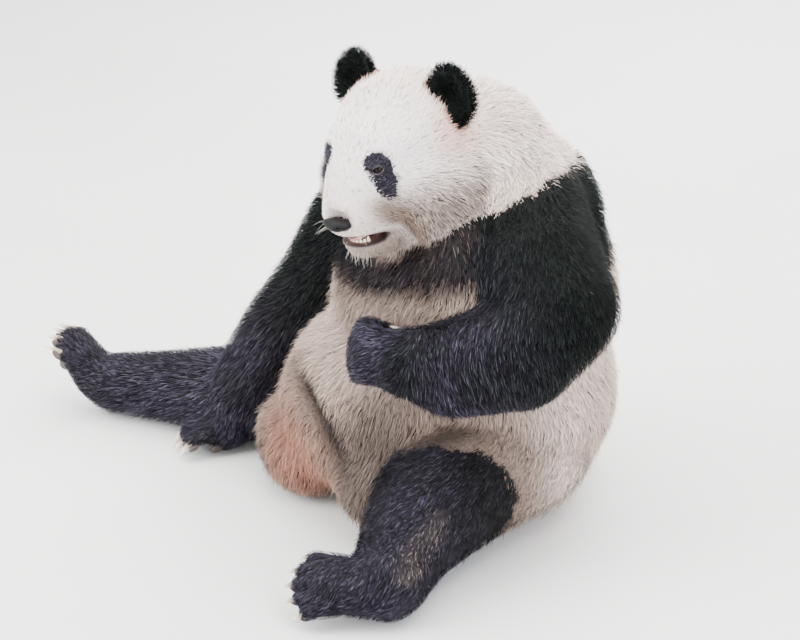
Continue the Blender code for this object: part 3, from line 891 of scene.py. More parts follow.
class Groom:
    """Growth and lie of the coat for every point of a surface."""

    def __init__(self, anatomy: Anatomy) -> None:
        """Lay out the lie of the coat and the paws from the landmarks."""
        self.anatomy = anatomy
        self.face = anatomy.face
        self.lies = self._lies()
        nets = [anatomy.nets[name] for name in FLESH]
        self.owner = np.repeat(np.arange(len(FLESH)), [len(net.faces) for net in nets])
        self.tree = Net.joined(nets).tree
        self.paws = Paws(anatomy, self.tree)
        self.crease = Crease(anatomy)

    def _lies(self) -> dict[str, Lie]:
        """Return the lie of the coat on each piece of flesh."""
        centres, face = self.anatomy.centres, self.face
        neck = centres["neck"]
        lies = {
            "head": Lie(centres["nose"], 1.0, (0, 0, -0.10)),
            "lower_jaw": Lie(face.world((0, -0.10, -0.09)), 1.0, (0, 0, -0.9)),
            "neck": Lie(centres["head"], 0.8, (0, 0.1, -0.7)),
            "trunk": Lie(neck, 0.6, (0, 0, -1.0)),
            "tail": Lie(centres["trunk"], 0.4, (0, 0.3, -0.8)),
            "upper_arm_left": Lie(neck, 0.5, (0.1, -0.2, -1.0)),
            "forearm_left": Lie(centres["hand_left"], 0.2, (0.2, -0.05, -1.0)),
            "hand_left": Lie(centres["forearm_left"], 0.9, (0, 0, -0.3)),
            "upper_arm_right": Lie(neck, 0.4, tuple(self.anatomy.toward("upper_arm_right", "forearm_right"))),
            "forearm_right": Lie(neck, 0.1, tuple(self.anatomy.toward("forearm_right", "hand_right"))),
            "hand_right": Lie(centres["forearm_right"], 1.0, (0, 0, 0)),
        }
        for side in Side:
            word = side.word
            ear, thigh = centres[f"ear_{word}"], centres[f"thigh_{word}"]
            leg = self.anatomy.toward(f"thigh_{word}", f"shin_{word}")
            root = ear - 0.045 * self.face.axes[2] - side.value * 0.012 * self.face.axes[0]
            lies[f"ear_{word}"] = Lie(root, 1.0, (0, 0, 0))
            lies[f"thigh_{word}"] = Lie(thigh, 0.0, tuple(leg + (0, 0, -0.35)))
            lies[f"shin_{word}"] = Lie(thigh, 0.6, tuple(0.6 * leg + (0, 0, -0.2)))
            lies[f"foot_{word}"] = Lie(centres[f"shin_{word}"], 1.0, (0, 0, 0))
        return lies

    def owners(self, points: Array) -> Array:
        """Return, for each point, one column for each solid: 1 for the nearest, else 0."""
        nearest = [self.tree.find_nearest(place)[2] for place in points.tolist()]
        table = np.zeros((len(points), len(FLESH)))
        table[np.arange(len(points)), self.owner[np.array(nearest)]] = 1.0
        return table

    def growth(self, points: Array, owners: Array) -> Array:
        """Work out depth, length, width, spacing and clump for each point.

        The families' values are mixed by `owners`.  On the head they shorten toward the
        nose and the eyes and lengthen toward the cheeks; on the belly they lengthen.

        Args:
            points: places on the skin.
            owners: how much of each point belongs to each solid.

        Returns:
            One row of the five values for each point.
        """
        table = np.array([GROWTH[name.replace("_left", "").replace("_right", "")].row for name in FLESH])
        values = owners @ table / np.sum(owners, axis=1, keepdims=True)
        local = self.face.local(points)
        head = share_of(owners, "head", "lower_jaw")
        sideways, back, rise = np.abs(local[:, 0]), local[:, 1], local[:, 2]
        cheek = head * ease(0.045, 0.11, sideways) * ease(0.0, -0.07, rise) * ease(0.0, 0.07, back)
        nose = self.face.local(self.anatomy.centres["nose"])
        muzzle = head * (1 - ease(0.03, 0.16, gaps(local, nose, (1.0, 0.8, 1.0))))
        eyes = [gaps(points, self.anatomy.centres[f"eye_{side.word}"]) for side in Side]
        toes = 1 - ease(0.014, 0.034, self.paws.claw_gap(points))
        sole = 1 - ease(1.0, 1.9, self.paws.pad_reach(points))
        lips = head * (1 - ease(0.003, 0.016, MouthOpening(self.face).outside(local)))
        deep = points[:, 1] - self.anatomy.centres["trunk"][1]
        belly = share_of(owners, "trunk") * ease(0.02, -0.12, deep) * ease(0.55, 0.40, points[:, 2])
        return painted(
            values,
            (CHEEK_GROWTH.row, column(cheek)),
            (MUZZLE_GROWTH.row, column(muzzle)),
            *((EYE_GROWTH.row, column(head * (1 - ease(0.016, 0.05, gap)))) for gap in eyes),
            (TOE_GROWTH.row, column(toes)),
            (LIP_GROWTH.row, column(sole)),
            (LIP_GROWTH.row, column(lips)),
            (BELLY_GROWTH.row, column(belly)),
            (CREASE_GROWTH.row, column(np.sqrt(self.crease.at(points)))),
        )

    def lie(self, points: Array, normals: Array, owners: Array) -> Array:
        """Mix the solids' lies into one tangent direction at each point.

        Args:
            points: places on the skin.
            normals: the skin's normals there.
            owners: how much of each point belongs to each solid.

        Returns:
            One unit direction for each point.
        """
        total = np.zeros_like(points)
        for at, name in enumerate(FLESH):
            total += column(owners[:, at]) * self.lies[name].at(points)
        local = self.face.local(points)
        cheek = ease(0.05, 0.10, np.abs(local[:, 0])) * ease(0.02, -0.05, local[:, 2])
        head = share_of(owners, "head")
        total -= column(0.9 * cheek * head) * self.face.axes[2]
        return unit(total - normals * dots(total, normals))


class Crease:
    """The crease over the fold of belly that hangs between the legs, seen from in front."""

    LINE = np.array(((-0.125, -0.065), (-0.045, -0.080), (0.010, -0.118), (0.042, -0.175), (0.050, -0.235)))
    DEEPEST = 0.45  # along the line, 0 at one end and 1 at the other

    def __init__(self, anatomy: Anatomy) -> None:
        """Take the middle of the trunk, which the line is measured from."""
        self.middle = anatomy.centres["trunk"]

    def at(self, points: Array) -> Array:
        """Return 1 in the deepest part, falling to 0 beside the line and at its ends."""
        flat = (points - self.middle)[:, [0, 2]]
        legs = np.linalg.norm(np.diff(self.LINE, axis=0), axis=1)
        passed = np.concatenate(([0.0], np.cumsum(legs))) / legs.sum()
        best = np.full(len(points), 9.0)
        along = np.zeros(len(points))
        for at in range(len(legs)):
            share, gap = along_line(flat, self.LINE[at], self.LINE[at + 1])
            along = np.where(gap < best, passed[at] + share * (passed[at + 1] - passed[at]), along)
            best = np.minimum(best, gap)
        strength = 1 - ease(0.05, 0.6, np.abs(along - self.DEEPEST))
        return bell(best, 0, 0.019) * strength * ease(-0.16, -0.20, points[:, 1] - self.middle[1])


# ---------------- markings
class Markings:
    """The colours of skin and coat: black and cream parts, stains, painted shade in creases and folds, and
    painted sheen on black hair.
    """

    WHITE, CREAM, BEIGE, BLUSH = hues("FBF2EF", "D6C1B5", "B39A8B", "E8BFB0")
    DULL, BROWN, RUFOUS, FOLD = hues("74645A", "786558", "8C5A4A", "6C5B4E")
    BLACK, INK, VIOLET, PATCH = hues("111112", "050806", "232029", "211F26")
    EAR_BROWN, INNER, DUSK, DUST = hues("B07C66", "4C413B", "231B18", "6A6058")
    RIM, LID_RIM, PAD = hues("1B1718", "4E4447", "3C312C")
    LIP, GUM, LINING = hues("2A1E1D", "A27B76", "4A2523")
    BODY_BORDER = 6.0 * MM  # how deep black and cream hairs mingle
    FACE_BORDER = 2.0 * MM
    INNER_LEG = np.array((0.643, 0.766, 0.0))

    def __init__(self, anatomy: Anatomy) -> None:
        """Set the planes beyond which the legs are black."""
        self.anatomy = anatomy
        self.face = anatomy.face
        self.crease = Crease(anatomy)
        self.middle = anatomy.centres["head"][0]
        self.leg_borders = {
            Side.LEFT: (anatomy.centres["thigh_left"] + (0.055, -0.124, 0.090), (0.68, -0.72, -0.13)),
            Side.RIGHT: (anatomy.centres["thigh_right"] + (-0.035, -0.100, 0.010), (-0.86, -0.50, -0.08)),
        }

    def blackness(self, points: Array, owners: Array) -> Array:
        """Return how far each point lies inside the black parts, in metres.

        A band over the shoulders, bounded by a saddle above and a level below, joins the
        arms; each leg is black beyond a slanting plane.

        Args:
            points: places on the skin.
            owners: how much of each point belongs to each solid.

        Returns:
            One depth for each point.
        """
        ragged = 0.006 * lattice_noise(points, 0.012, 3) + 0.010 * lattice_noise(points, 0.05, 4)
        ragged += 0.015 * lattice_noise(points, 0.14, 10)
        out = np.abs(points[:, 0] - self.middle)
        level = points[:, 2]
        saddle = 0.500 + 0.53 * np.minimum(out, 0.24) + 0.25 * (points[:, 1] + 0.067) - level
        limbs = ("upper_arm", "forearm", "hand", "shin_right", "foot_right")
        arms = (share_of(owners, *limbs) - 0.5) * 0.06
        front = ease(0.10, 0.0, points[:, 1])
        edge = 0.468 + front * (0.35 * np.maximum(points[:, 0] - self.middle, 0) - 0.023)
        band = np.maximum(arms, level - edge)
        off_head = (0.5 - share_of(owners, "head", "lower_jaw", "ear")) * 0.06
        inside = np.minimum(np.minimum(saddle, band), off_head)
        for side, (place, normal) in self.leg_borders.items():
            word = side.word
            parts = (f"thigh_{word}", f"shin_{word}", f"foot_{word}", "forearm", "hand")
            leg = (share_of(owners, *parts) - 0.5) * 0.06
            beyond = (points - place) @ np.array(normal)
            if side is Side.LEFT:
                shin = self.anatomy.centres["shin_left"]
                inner = (points - shin) @ self.INNER_LEG + 0.085
                beyond = np.minimum(beyond, inner + 4 * np.maximum(shin[1] - 0.09 - points[:, 1], 0))
            inside = np.maximum(inside, np.minimum(leg, beyond))
        return inside + ragged

    def ear_blackness(self, points: Array, owners: Array) -> Array:
        """Return how far each point lies inside the black of the ears, in metres."""
        share = share_of(owners, "ear")
        return (share - 0.14) * 0.03 + 0.003 * lattice_noise(points, 0.008, 5)

    def patch_blackness(self, points: Array) -> Array:
        """Return how far each point lies inside a black eye patch, in metres.

        A patch is a drop: a disc round the eye carried down and outward to a wider one.
        """
        local = self.face.local(points)
        inside = np.full(len(points), -1.0)
        for side in Side:
            eye = self.face.local(self.anatomy.centres[f"eye_{side.word}"])
            start = eye + (side.value * -0.001, 0, 0.005)
            end = eye + (side.value * 0.006, 0.006, -0.031)
            share, gap = along_line(local, start, end)
            inside = np.maximum(inside, 0.0238 + 0.0010 * share - gap)
        return inside + 0.0020 * lattice_noise(points, 0.006, 6)

    def jowl(self, points: Array, owners: Array) -> Array:
        """Return how far each point lies in the long dull hair of cheeks and throat."""
        local = self.face.local(points)
        aside, rise = np.abs(local[:, 0]), local[:, 2]
        return ease(0.030, 0.085, aside) * ease(0.0, -0.085, rise) * share_of(owners, "head", "lower_jaw")

    def light_tint(self, points: Array, owners: Array) -> Array:
        """Paint the light parts of the coat, one colour over the other; some layers are painted shade in
        creases, folds and the groin.

        Args:
            points: places on the skin.
            owners: how much of each point belongs to each solid.

        Returns:
            The linear colour of each point.
        """
        local = self.face.local(points)
        aside, back, rise = np.abs(local[:, 0]), local[:, 1], local[:, 2]
        cloud = column(lattice_noise(points, 0.09, 7)) * 0.5 + 0.5
        head = column(share_of(owners, "head", "lower_jaw"))
        front = column(ease(0.16, 0.02, back)) * column(ease(-0.08, 0.02, rise))
        neck = column(share_of(owners, "neck"))
        throat = ease(0.5, 0.95, 4 * head * neck) * column(ease(0.01, -0.05, rise))
        by_ear = gaps(local, (0, 0.125, 0.020), (0, 1, 1))
        by_ear = column(ease(0.065, 0.015, by_ear) * ease(0.07, 0.10, aside)) * head
        corner = np.abs(0.059 - 0.25 * (rise + 0.045) - aside)
        corner = ease(0.024, 0.003, corner) * ease(-0.035, -0.060, rise) * ease(0.075, 0.035, back)
        level = column(points[:, 2])
        trunk = column(1 - share_of(owners, "head", "lower_jaw", "neck", "ear"))
        before = ease(0.17, 0.0, column(points[:, 1]))
        middle, thigh = self.anatomy.centres["trunk"], self.anatomy.centres["thigh_left"]
        chest = column(ease(0.17, 0.09, gaps(points, middle + (0.08, -0.20, 0.13), (0.5, 1, 1))))
        lobe = column(ease(0.17, 0.04, gaps(points, middle + (-0.10, -0.26, -0.22))))
        groin_shade = column(ease(0.13, 0.04, gaps(points, middle + (0.105, -0.265, -0.17), (1, 1, 0.6))))
        leg = column(share_of(owners, "thigh_left", "shin_left")) * before
        flank = column(ease(0.16, 0.04, gaps(points, thigh + (0.04, 0.15, 0.08))))
        return painted(
            self.CREAM,
            (self.WHITE, cloud * 0.35),
            (self.WHITE, head * (0.35 + 0.65 * front)),
            (self.DULL, 0.9 * column(self.jowl(points, owners))),
            (self.BROWN, 0.8 * column(share_of(owners, "lower_jaw"))),
            # painted shade: brown in the crease where the head meets the neck, under the chin
            (self.BROWN, 0.45 * throat),
            (self.BLUSH, 0.8 * by_ear),
            # brown along the crease between muzzle and cheek down to the mouth corner: a stain at the corner,
            # painted shade in the crease
            (self.BROWN, column(0.9 * corner) * head),
            (self.BEIGE, trunk * ease(0.58, 0.20, level) * (0.12 + 0.65 * before)),
            (self.BROWN, trunk * before * ease(0.40, 0.18, level) * 0.8),
            # painted shade: dark brown in the fold of the chest under the black band
            (self.FOLD, trunk * chest * 0.85),
            (self.RUFOUS, trunk * lobe * 0.8),
            # painted shade: INNER darkens the groin and the inner side of the near thigh, where they meet the
            # belly
            (self.INNER, trunk * groin_shade * 0.85),
            (self.INNER, 0.9 * leg * ease(0.08, 0.02, points[:, :1] - thigh[0])),
            # painted shade: near-black brown along the crease of the belly fold that hangs between the legs
            (self.DUSK, 0.95 * column(1 - (1 - self.crease.at(points)) ** 2)),
            (self.RUFOUS, trunk * flank * 0.35),
        )

    def tint(self, points: Array, owners: Array, stray: Array) -> tuple[Array, Array]:
        """Return each point's colour, and whether its coat is black.

        Args:
            points: places on the skin.
            owners: how much of each point belongs to each solid.
            stray: how far each hair takes its colour from beyond the border, as a share
                of the border's width there.

        Returns:
            The linear colours, and a flat array of True and False.
        """
        front = share_of(owners, "trunk") * ease(0.05, -0.05, points[:, 1])
        body = self.blackness(points, owners) + self.BODY_BORDER * stray
        ear = self.ear_blackness(points, owners) + self.FACE_BORDER * stray
        on_head = share_of(owners, "head") > 0.4
        patch = np.where(on_head, self.patch_blackness(points) + self.FACE_BORDER * stray, -1.0)
        # Cream hair just below the black band at the chest front is darkened toward INNER, as painted shade
        # under the band; more lightly, cream darkens along every black border.
        near_black = column(front * ease(-0.040, 0.0, body) + 0.35 * ease(-0.012, 0.0, body))
        of_ear = share_of(owners, "ear")
        near_ear = column(ease(0.004, 0.09, of_ear) * ease(0.9, 0.5, of_ear))
        tint = painted(
            self.light_tint(points, owners),
            (self.INNER, 0.85 * np.minimum(near_black, 1)),
            (self.EAR_BROWN, 0.8 * near_ear),
        )
        centres = self.anatomy.centres
        # Painted sheen: toward the paws black hair turns violet, and low down it stays lighter than the
        # near-black ink higher up.
        paws = np.max([ease(0.35, 0.10, gaps(points, centres[paw])) for paw in Paws.NAMES], axis=0)
        lower = column(paws * (0.55 + 0.45 * lattice_noise(points, 0.07, 9)))
        chest = front * ease(0.05, 0.005, body) * ease(0.40, 0.44, points[:, 2])
        high = centres["shin_left"] + (0.090, -0.010, 0.030)
        low = centres["foot_left"] + (0.075, 0.050, 0.040)
        stain = ease(0.040, 0.010, along_line(points, high, low)[1])
        black_tint = painted(
            self.BLACK,
            (self.INK, ease(0.20, 0.48, points[:, 2:])),
            (self.VIOLET, lower * 0.9),
            (self.DUSK, column(0.6 * chest)),
            (self.DUST, column(0.3 * (stain * (0.6 + 0.4 * lattice_noise(points, 0.02, 8))))),
        )
        tint = np.where(column(body) > 0, black_tint, tint)
        tint = np.where(column(ear) > 0, self.INK, tint)
        tint = np.where(column(patch) > 0, self.PATCH, tint)
        black = (body > 0) | (ear > 0) | (patch > 0)
        return tint, black


# ---------------- the skin
@dataclass
class Skin:
    """The animal's one skin: melted flesh, sunk by the depth of the coat, with a face."""

    anatomy: Anatomy
    groom: Groom
    markings: Markings
    voxel: float = 6.6 * MM
    overlap: float = 0.8 * MM  # how much the solids swell to close the thin cuts
    fine_zones: tuple[tuple[str, float], ...] = (
        ("face", 0.110), ("eye_left", 0.030), ("eye_right", 0.030), ("mouth", 0.052),
        ("claw_foot_left_3", 0.062), ("claw_foot_right_3", 0.062), ("claw_hand_right_3", 0.055),
    )

    def build(self) -> Thing:
        """Make the skin and return it as a finished piece."""
        self._outline()
        self._sink()
        self._refine()
        self._sculpt()
        self._values()
        self._unwrap()
        return self._piece()

    def _outline(self) -> None:
        """Melt the swollen solids into the outline that the tips of the coat reach."""
        swollen = []
        for name in FLESH:
            net = self.anatomy.nets[name]
            grown = net.points + self.overlap * point_normals(net.points, net.faces)
            swollen.append(Net(grown, net.faces))
        swollen.append(MouthOpening(self.anatomy.face).plug())
        self.outline = melted(swollen, self.voxel)
        web = Web(self.outline)
        self.outline.points = web.relaxed(self.outline.points, 6)
        owners = web.spread(self.groom.owners(self.outline.points), 8)
        depth = self.groom.growth(self.outline.points, owners)[:, 0]
        self.depth = web.spread(depth, 12)
        self.outline_tree = self.outline.tree

    def _sink(self) -> None:
        """Sink the outline along its normals by the depth of the coat and melt it anew."""
        web = Web(self.outline)
        normals = point_normals(self.outline.points, triangles_of(self.outline.faces))
        normals = unit(web.spread(normals, 3))
        sunk = self.outline.points - normals * column(self.depth)
        self.net = melted([Net(sunk, self.outline.faces)], self.voxel)
        self.net.points = Web(self.net).relaxed(self.net.points, 5)

    def _zone_middle(self, zone: str) -> Array:
        """Return the middle of a zone that needs small faces."""
        places = {"face": (0, -0.035, -0.050), "mouth": (0, -0.030, -0.110)}
        return self.anatomy.face.world(places[zone]) if zone in places else self.anatomy.centres[zone]

    def _refine(self) -> None:
        """Split the faces of each fine zone in four."""
        form = bmesh.new()
        form.from_mesh(self.net.mesh("skin_base"))
        for zone, reach in self.fine_zones:
            middle = Vector(self._zone_middle(zone))
            edges = [
                edge
                for edge in form.edges
                if ((edge.verts[0].co + edge.verts[1].co) / 2 - middle).length < reach
            ]
            bmesh.ops.subdivide_edges(form, edges=edges, cuts=1, use_grid_fill=True, smooth=0.0)
        bmesh.ops.triangulate(form, faces=form.faces[:])
        mesh = bpy.data.meshes.new("skin_fine")
        form.to_mesh(mesh)
        form.free()
        self.net = Net.read(mesh, 3)
        web = Web(self.net)
        near = 1 - ease(0.10, 0.13, gaps(self.net.points, self._zone_middle("face")))
        self.net.points += column(near) * (web.relaxed(self.net.points, 3) - self.net.points)

    def _sculpt(self) -> None:
        """Work the lids of both eyes and the open mouth into the skin."""
        for side in Side:
            EyeSocket(self.anatomy, side).press(self.net.points)
        MouthOpening(self.anatomy.face).carve(self.net.points)
        normals = point_normals(self.net.points, self.net.faces)
        groove = self.groom.paws.groove(self.net.points)
        crease = self.groom.crease.at(self.net.points)
        self.net.points -= normals * column(5 * MM * groove + 26 * MM * crease)

    def _values(self) -> None:
        """Work out normals, owners, growth, lie, colour and bare places for each point."""
        points = self.net.points
        web = Web(self.net)
        self.normals = point_normals(points, self.net.faces)
        smooth_normals = unit(web.spread(self.normals, 4))
        self.owners = web.spread(self.groom.owners(points), 6)
        self.growth = self.groom.growth(points, self.owners)
        heights = [self.outline_tree.find_nearest(place)[3] for place in points.tolist()]
        groove = self.groom.paws.groove(points)
        most = 1.15 * self.growth[:, 0] + 1 * MM
        self.heights = web.spread(np.minimum(heights, most), 2) * (1 - 0.75 * groove)
        lie = self.groom.lie(points, smooth_normals, self.owners)
        for _ in range(4):
            lie = web.spread(lie, 8)
            lie = unit(lie - smooth_normals * dots(lie, smooth_normals))
        self.lie = lie
        self.tint, _ = self.markings.tint(points, self.owners, np.zeros(len(points)))
        self.bare, self.bare_tint = self._bare(points)

    def _bare(self, points: Array) -> tuple[Array, Array]:
        """Find the hairless skin: eyelid rims, lips, mouth and the bed of the nose pad.

        Args:
            points: places on the skin.

        Returns:
            1 where no hair grows, and the colour of the hairless skin at each point.
        """
        local = self.anatomy.face.local(points)
        mouth = MouthOpening(self.anatomy.face)
        outside = mouth.outside(local)
        below = local[:, 2] < mouth.level(local)
        bare = [1 - ease(0.0012, np.where(below, 0.0050, 0.0034), outside)]
        deep = column(ease(0.0, -0.006, outside))
        lower = column(ease(0.002, -0.004, local[:, 2] - mouth.level(local)))
        # painted shade: the roof and the back of the mouth are dark red-brown, darkest toward the back; the
        # lower jaw's inside stays gum pink
        back = column(ease(-0.030, 0.000, local[:, 1])) * deep
        mouth_shade = np.maximum(back, deep * (1 - lower))
        colour = painted(Markings.LIP, (Markings.GUM, lower * deep), (Markings.LINING, mouth_shade))
        colour = np.where(column(outside) < 0.012, colour, Markings.RIM)
        bare.append(1 - ease(0.95, 1.10, self.groom.paws.pad_reach(points)))
        colour = painted(colour, (Markings.PAD, column(bare[-1])))
        for side in Side:
            socket = EyeSocket(self.anatomy, side)
            bare.append(socket.bare(points))
            colour = painted(colour, (Markings.LID_RIM, column(socket.lower_rim(points))))
        bare.append(1 - ease(0.005, 0.008, self.groom.paws.claw_gap(points)))
        nose = self.anatomy.face.local(self.anatomy.centres["nose"]) - (0, 0, 0.008)
        bare.append(1 - ease(0.86, 1.0, np.linalg.norm((local - nose) / (0.0265, 0.022, 0.0135), axis=1)))
        return np.max(bare, axis=0), colour

    def _unwrap(self) -> None:
        """Unfold the skin's shape onto the bake map."""
        mesh = Net(self.net.points, self.net.faces).mesh("skin")
        piece = placed("skin", mesh)
        bpy.context.view_layer.objects.active = piece
        piece.select_set(True)
        mesh.uv_layers.new(name=BAKE_MAP)
        bpy.ops.object.mode_set(mode="EDIT")
        bpy.ops.mesh.select_all(action="SELECT")
        bpy.ops.uv.smart_project(angle_limit=math.radians(66), island_margin=0.001)
        bpy.ops.object.mode_set(mode="OBJECT")
        rows = np.empty(len(mesh.loops) * 2)
        mesh.uv_layers[BAKE_MAP].uv.foreach_get("vector", rows)
        self.net.maps[BAKE_MAP] = rows.reshape(-1, 2)
        bpy.data.objects.remove(piece)
        bpy.data.meshes.remove(mesh)

    def _piece(self) -> Thing:
        """Return the skin as a piece that stands for all the flesh."""
        shade = np.ones((len(self.net.points), 1))
        # the skin under the coat takes 0.88 of the coat's tint, as painted shade beneath the hair; bare
        # places keep their own colour
        dark = self.tint * 0.88
        dark = dark + column(self.bare) * (self.bare_tint - dark)
        values = {"tint": np.concatenate((dark, shade), axis=1), "bare": self.bare}
        net = Net(self.net.points, self.net.faces, self.net.maps, values)
        piece = new_piece("panda_skin", net, HIDE)
        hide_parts(*FLESH)
        return piece


@dataclass
class EyeSocket:
    """One eye: the ball, and the skin drawn over it as lids that are open in an almond."""

    anatomy: Anatomy
    side: Side
    ball: float = 11.5 * MM
    lid: float = 1.7 * MM
    half_width: float = 10.0 * MM
    half_height: float = 5.8 * MM
    slant: float = -14.0  # degrees the outer corner drops
    rings: int = 50
    sides: int = 64

    @property
    def frame(self) -> Frame:
        """Return the eye's frame: +X outward along the lids, +Y up, +Z out of the head."""
        out = self.side.value
        gaze = unit(np.array((0.52 * out, -0.84, 0.06)))
        across = unit(np.cross((0, 0, 1.0), gaze)) * out
        rise = unit(np.cross(gaze, across)) * out
        turn = math.radians(self.slant)
        drawn = across * math.cos(turn) - rise * math.sin(turn)
        over = rise * math.cos(turn) + across * math.sin(turn)
        axes = np.array((drawn, over, gaze)) @ self.anatomy.face.axes
        return Frame(self.anatomy.centres[f"eye_{self.side.word}"], axes)

    def opening(self, local: Array) -> Array:
        """Return how far places lie outside the almond opening, in metres: the height
        above (or below) a parabola that is highest at the middle and meets the corners."""
        across, rise = local[:, 0], local[:, 1]
        arch = np.where(rise > 0, 1.0, 0.8) * self.half_height
        edge = arch * (1 - (across / self.half_width) ** 2)
        return np.abs(rise) - edge

    def press(self, points: Array) -> None:
        """Draw the lids over the eyeball and press the skin behind the opening.

        Args:
            points: the skin's places, which are moved.
        """
        frame = self.frame
        local = frame.local(points)
        reach = np.hypot(local[:, 0], local[:, 1])
        near = (reach < 0.030) & (local[:, 2] > -0.010)
        outside = self.opening(local)
        shell = self.ball + self.lid
        dome = np.sqrt(np.maximum(shell**2 - reach**2, 0))
        lid = np.maximum(dome, local[:, 2])
        lid = local[:, 2] + (lid - local[:, 2]) * ease(0.028, 0.013, reach)
        rim = 0.0007 * bell(outside, 0.0012, 0.0011) * ease(0.014, 0.010, reach)
        behind = np.sqrt(np.maximum((self.ball * 0.8) ** 2 - reach**2, 0)) - 0.001
        inner = ease(0.0003, -0.0009, outside) * ease(0.0125, 0.0105, reach)
        depth = (lid + rim) * (1 - inner) + behind * inner
        local[:, 2] = np.where(near, depth, local[:, 2])
        points[near] = frame.world(local[near])

    def bare(self, points: Array) -> Array:
        """Return 1 on the rims and inside the opening, falling to 0 on the lids."""
        local = self.frame.local(points)
        reach = np.hypot(local[:, 0], local[:, 1])
        close = (reach < 0.014) & (local[:, 2] > -0.010)
        return np.where(close, 1 - ease(0.0018, 0.0028, self.opening(local)), 0.0)

    def lower_rim(self, points: Array) -> Array:
        """Return 1 on the wet edge of the lower lid, falling to 0 beside it."""
        local = self.frame.local(points)
        reach = np.hypot(local[:, 0], local[:, 1])
        edge = bell(self.opening(local), 0.0007, 0.0007)
        return edge * ((reach < 0.013) & (local[:, 1] < 0.0005) & (local[:, 2] > -0.010))

    def build(self) -> None:
        """Make the eyeball: radius R, raised to 1.05 R over the iris by a smooth dome."""
        angle = np.linspace(0, math.pi, self.rings)
        radius = self.ball * (0.985 + 0.055 * ease(0.62, 0.25, angle))
        grid = ball(self.rings, self.sides) * radius[:, None, None]
        net = closed_ball(self.frame.world(grid))
        piece = new_piece(f"eyeball_{self.side.word}", net, WET_EYE)
        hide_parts(f"eye_{self.side.word}")


@dataclass
class MouthOpening:
    """The open mouth, in the face's frame: a slot that narrows to a corner in each cheek.

    Its height at the swing s from the front is gape (1 - (s / corner)^2)^0.8.
    """

    face: Frame
    pivot: float = 0.018  # how far back of the eyes the swing turns
    corner: float = math.radians(80)
    middle: float = -0.1185  # level of the slot between the lips
    front: float = -0.045
    slope: float = -0.105  # how the slot drops toward the corners
    gape: float = 0.0115  # half the height of the slot at the front
    depth: float = 0.036
    narrowing: float = 0.25
    lip: float = 0.0013  # how far the lips stand out

    def plug(self) -> Net:
        """Return a ball that fills the solids' own slot: x, y, z on an ellipsoid."""
        return closed_ball(self.face.world(ball(26, 40) * (0.034, 0.038, 0.017) + (0, -0.012, self.middle)))

    def swing(self, local: Array) -> Array:
        """Return how far places lie round from the front to the corner, as a share."""
        return np.arctan2(np.abs(local[:, 0]), self.pivot - local[:, 1]) / self.corner

    def level(self, local: Array) -> Array:
        """Return the height of the slot's middle line."""
        return self.middle + self.slope * (local[:, 1] - self.front)

    def outside(self, local: Array) -> Array:
        """Return how far places lie above or below the slot, in metres."""
        swing = self.swing(local)
        half = self.gape * np.maximum(1 - swing**2, 0) ** 0.8
        beyond = 0.05 * np.maximum(swing - 1, 0) + np.maximum(local[:, 1] - 0.03, 0)
        return np.abs(local[:, 2] - self.level(local)) - half + beyond

    def carve(self, points: Array) -> None:
        """Push the slot's skin back into the head and round the lips.

        Args:
            points: the skin's places, which are moved.
        """
        local = self.face.local(points)
        outside = self.outside(local)
        near = (np.abs(local[:, 0]) < 0.06) & (local[:, 1] < 0.035) & (outside < 0.02)
        swing = np.clip(self.swing(local), 0, 1)
        inward = ease(0.0004, -0.0034, outside) * (1 - swing**3)
        out = unit(local * (1, 1, 0) - (0, self.pivot, 0))
        rounding = self.lip * bell(outside, 0.0028, 0.0024) * (1 - swing**4)
        moved = local + out * column(rounding)
        moved[:, 0] *= 1 - self.narrowing * inward
        moved[:, 1] += self.depth * inward
        groove = bell(local[:, 0], 0, 0.0016) * ease(0.016, 0.010, outside)
        groove *= (local[:, 2] > self.level(local)) * (1 - inward)
        moved[:, 1] += 0.0016 * groove
        local[near] = moved[near]
        points[near] = self.face.world(local[near])


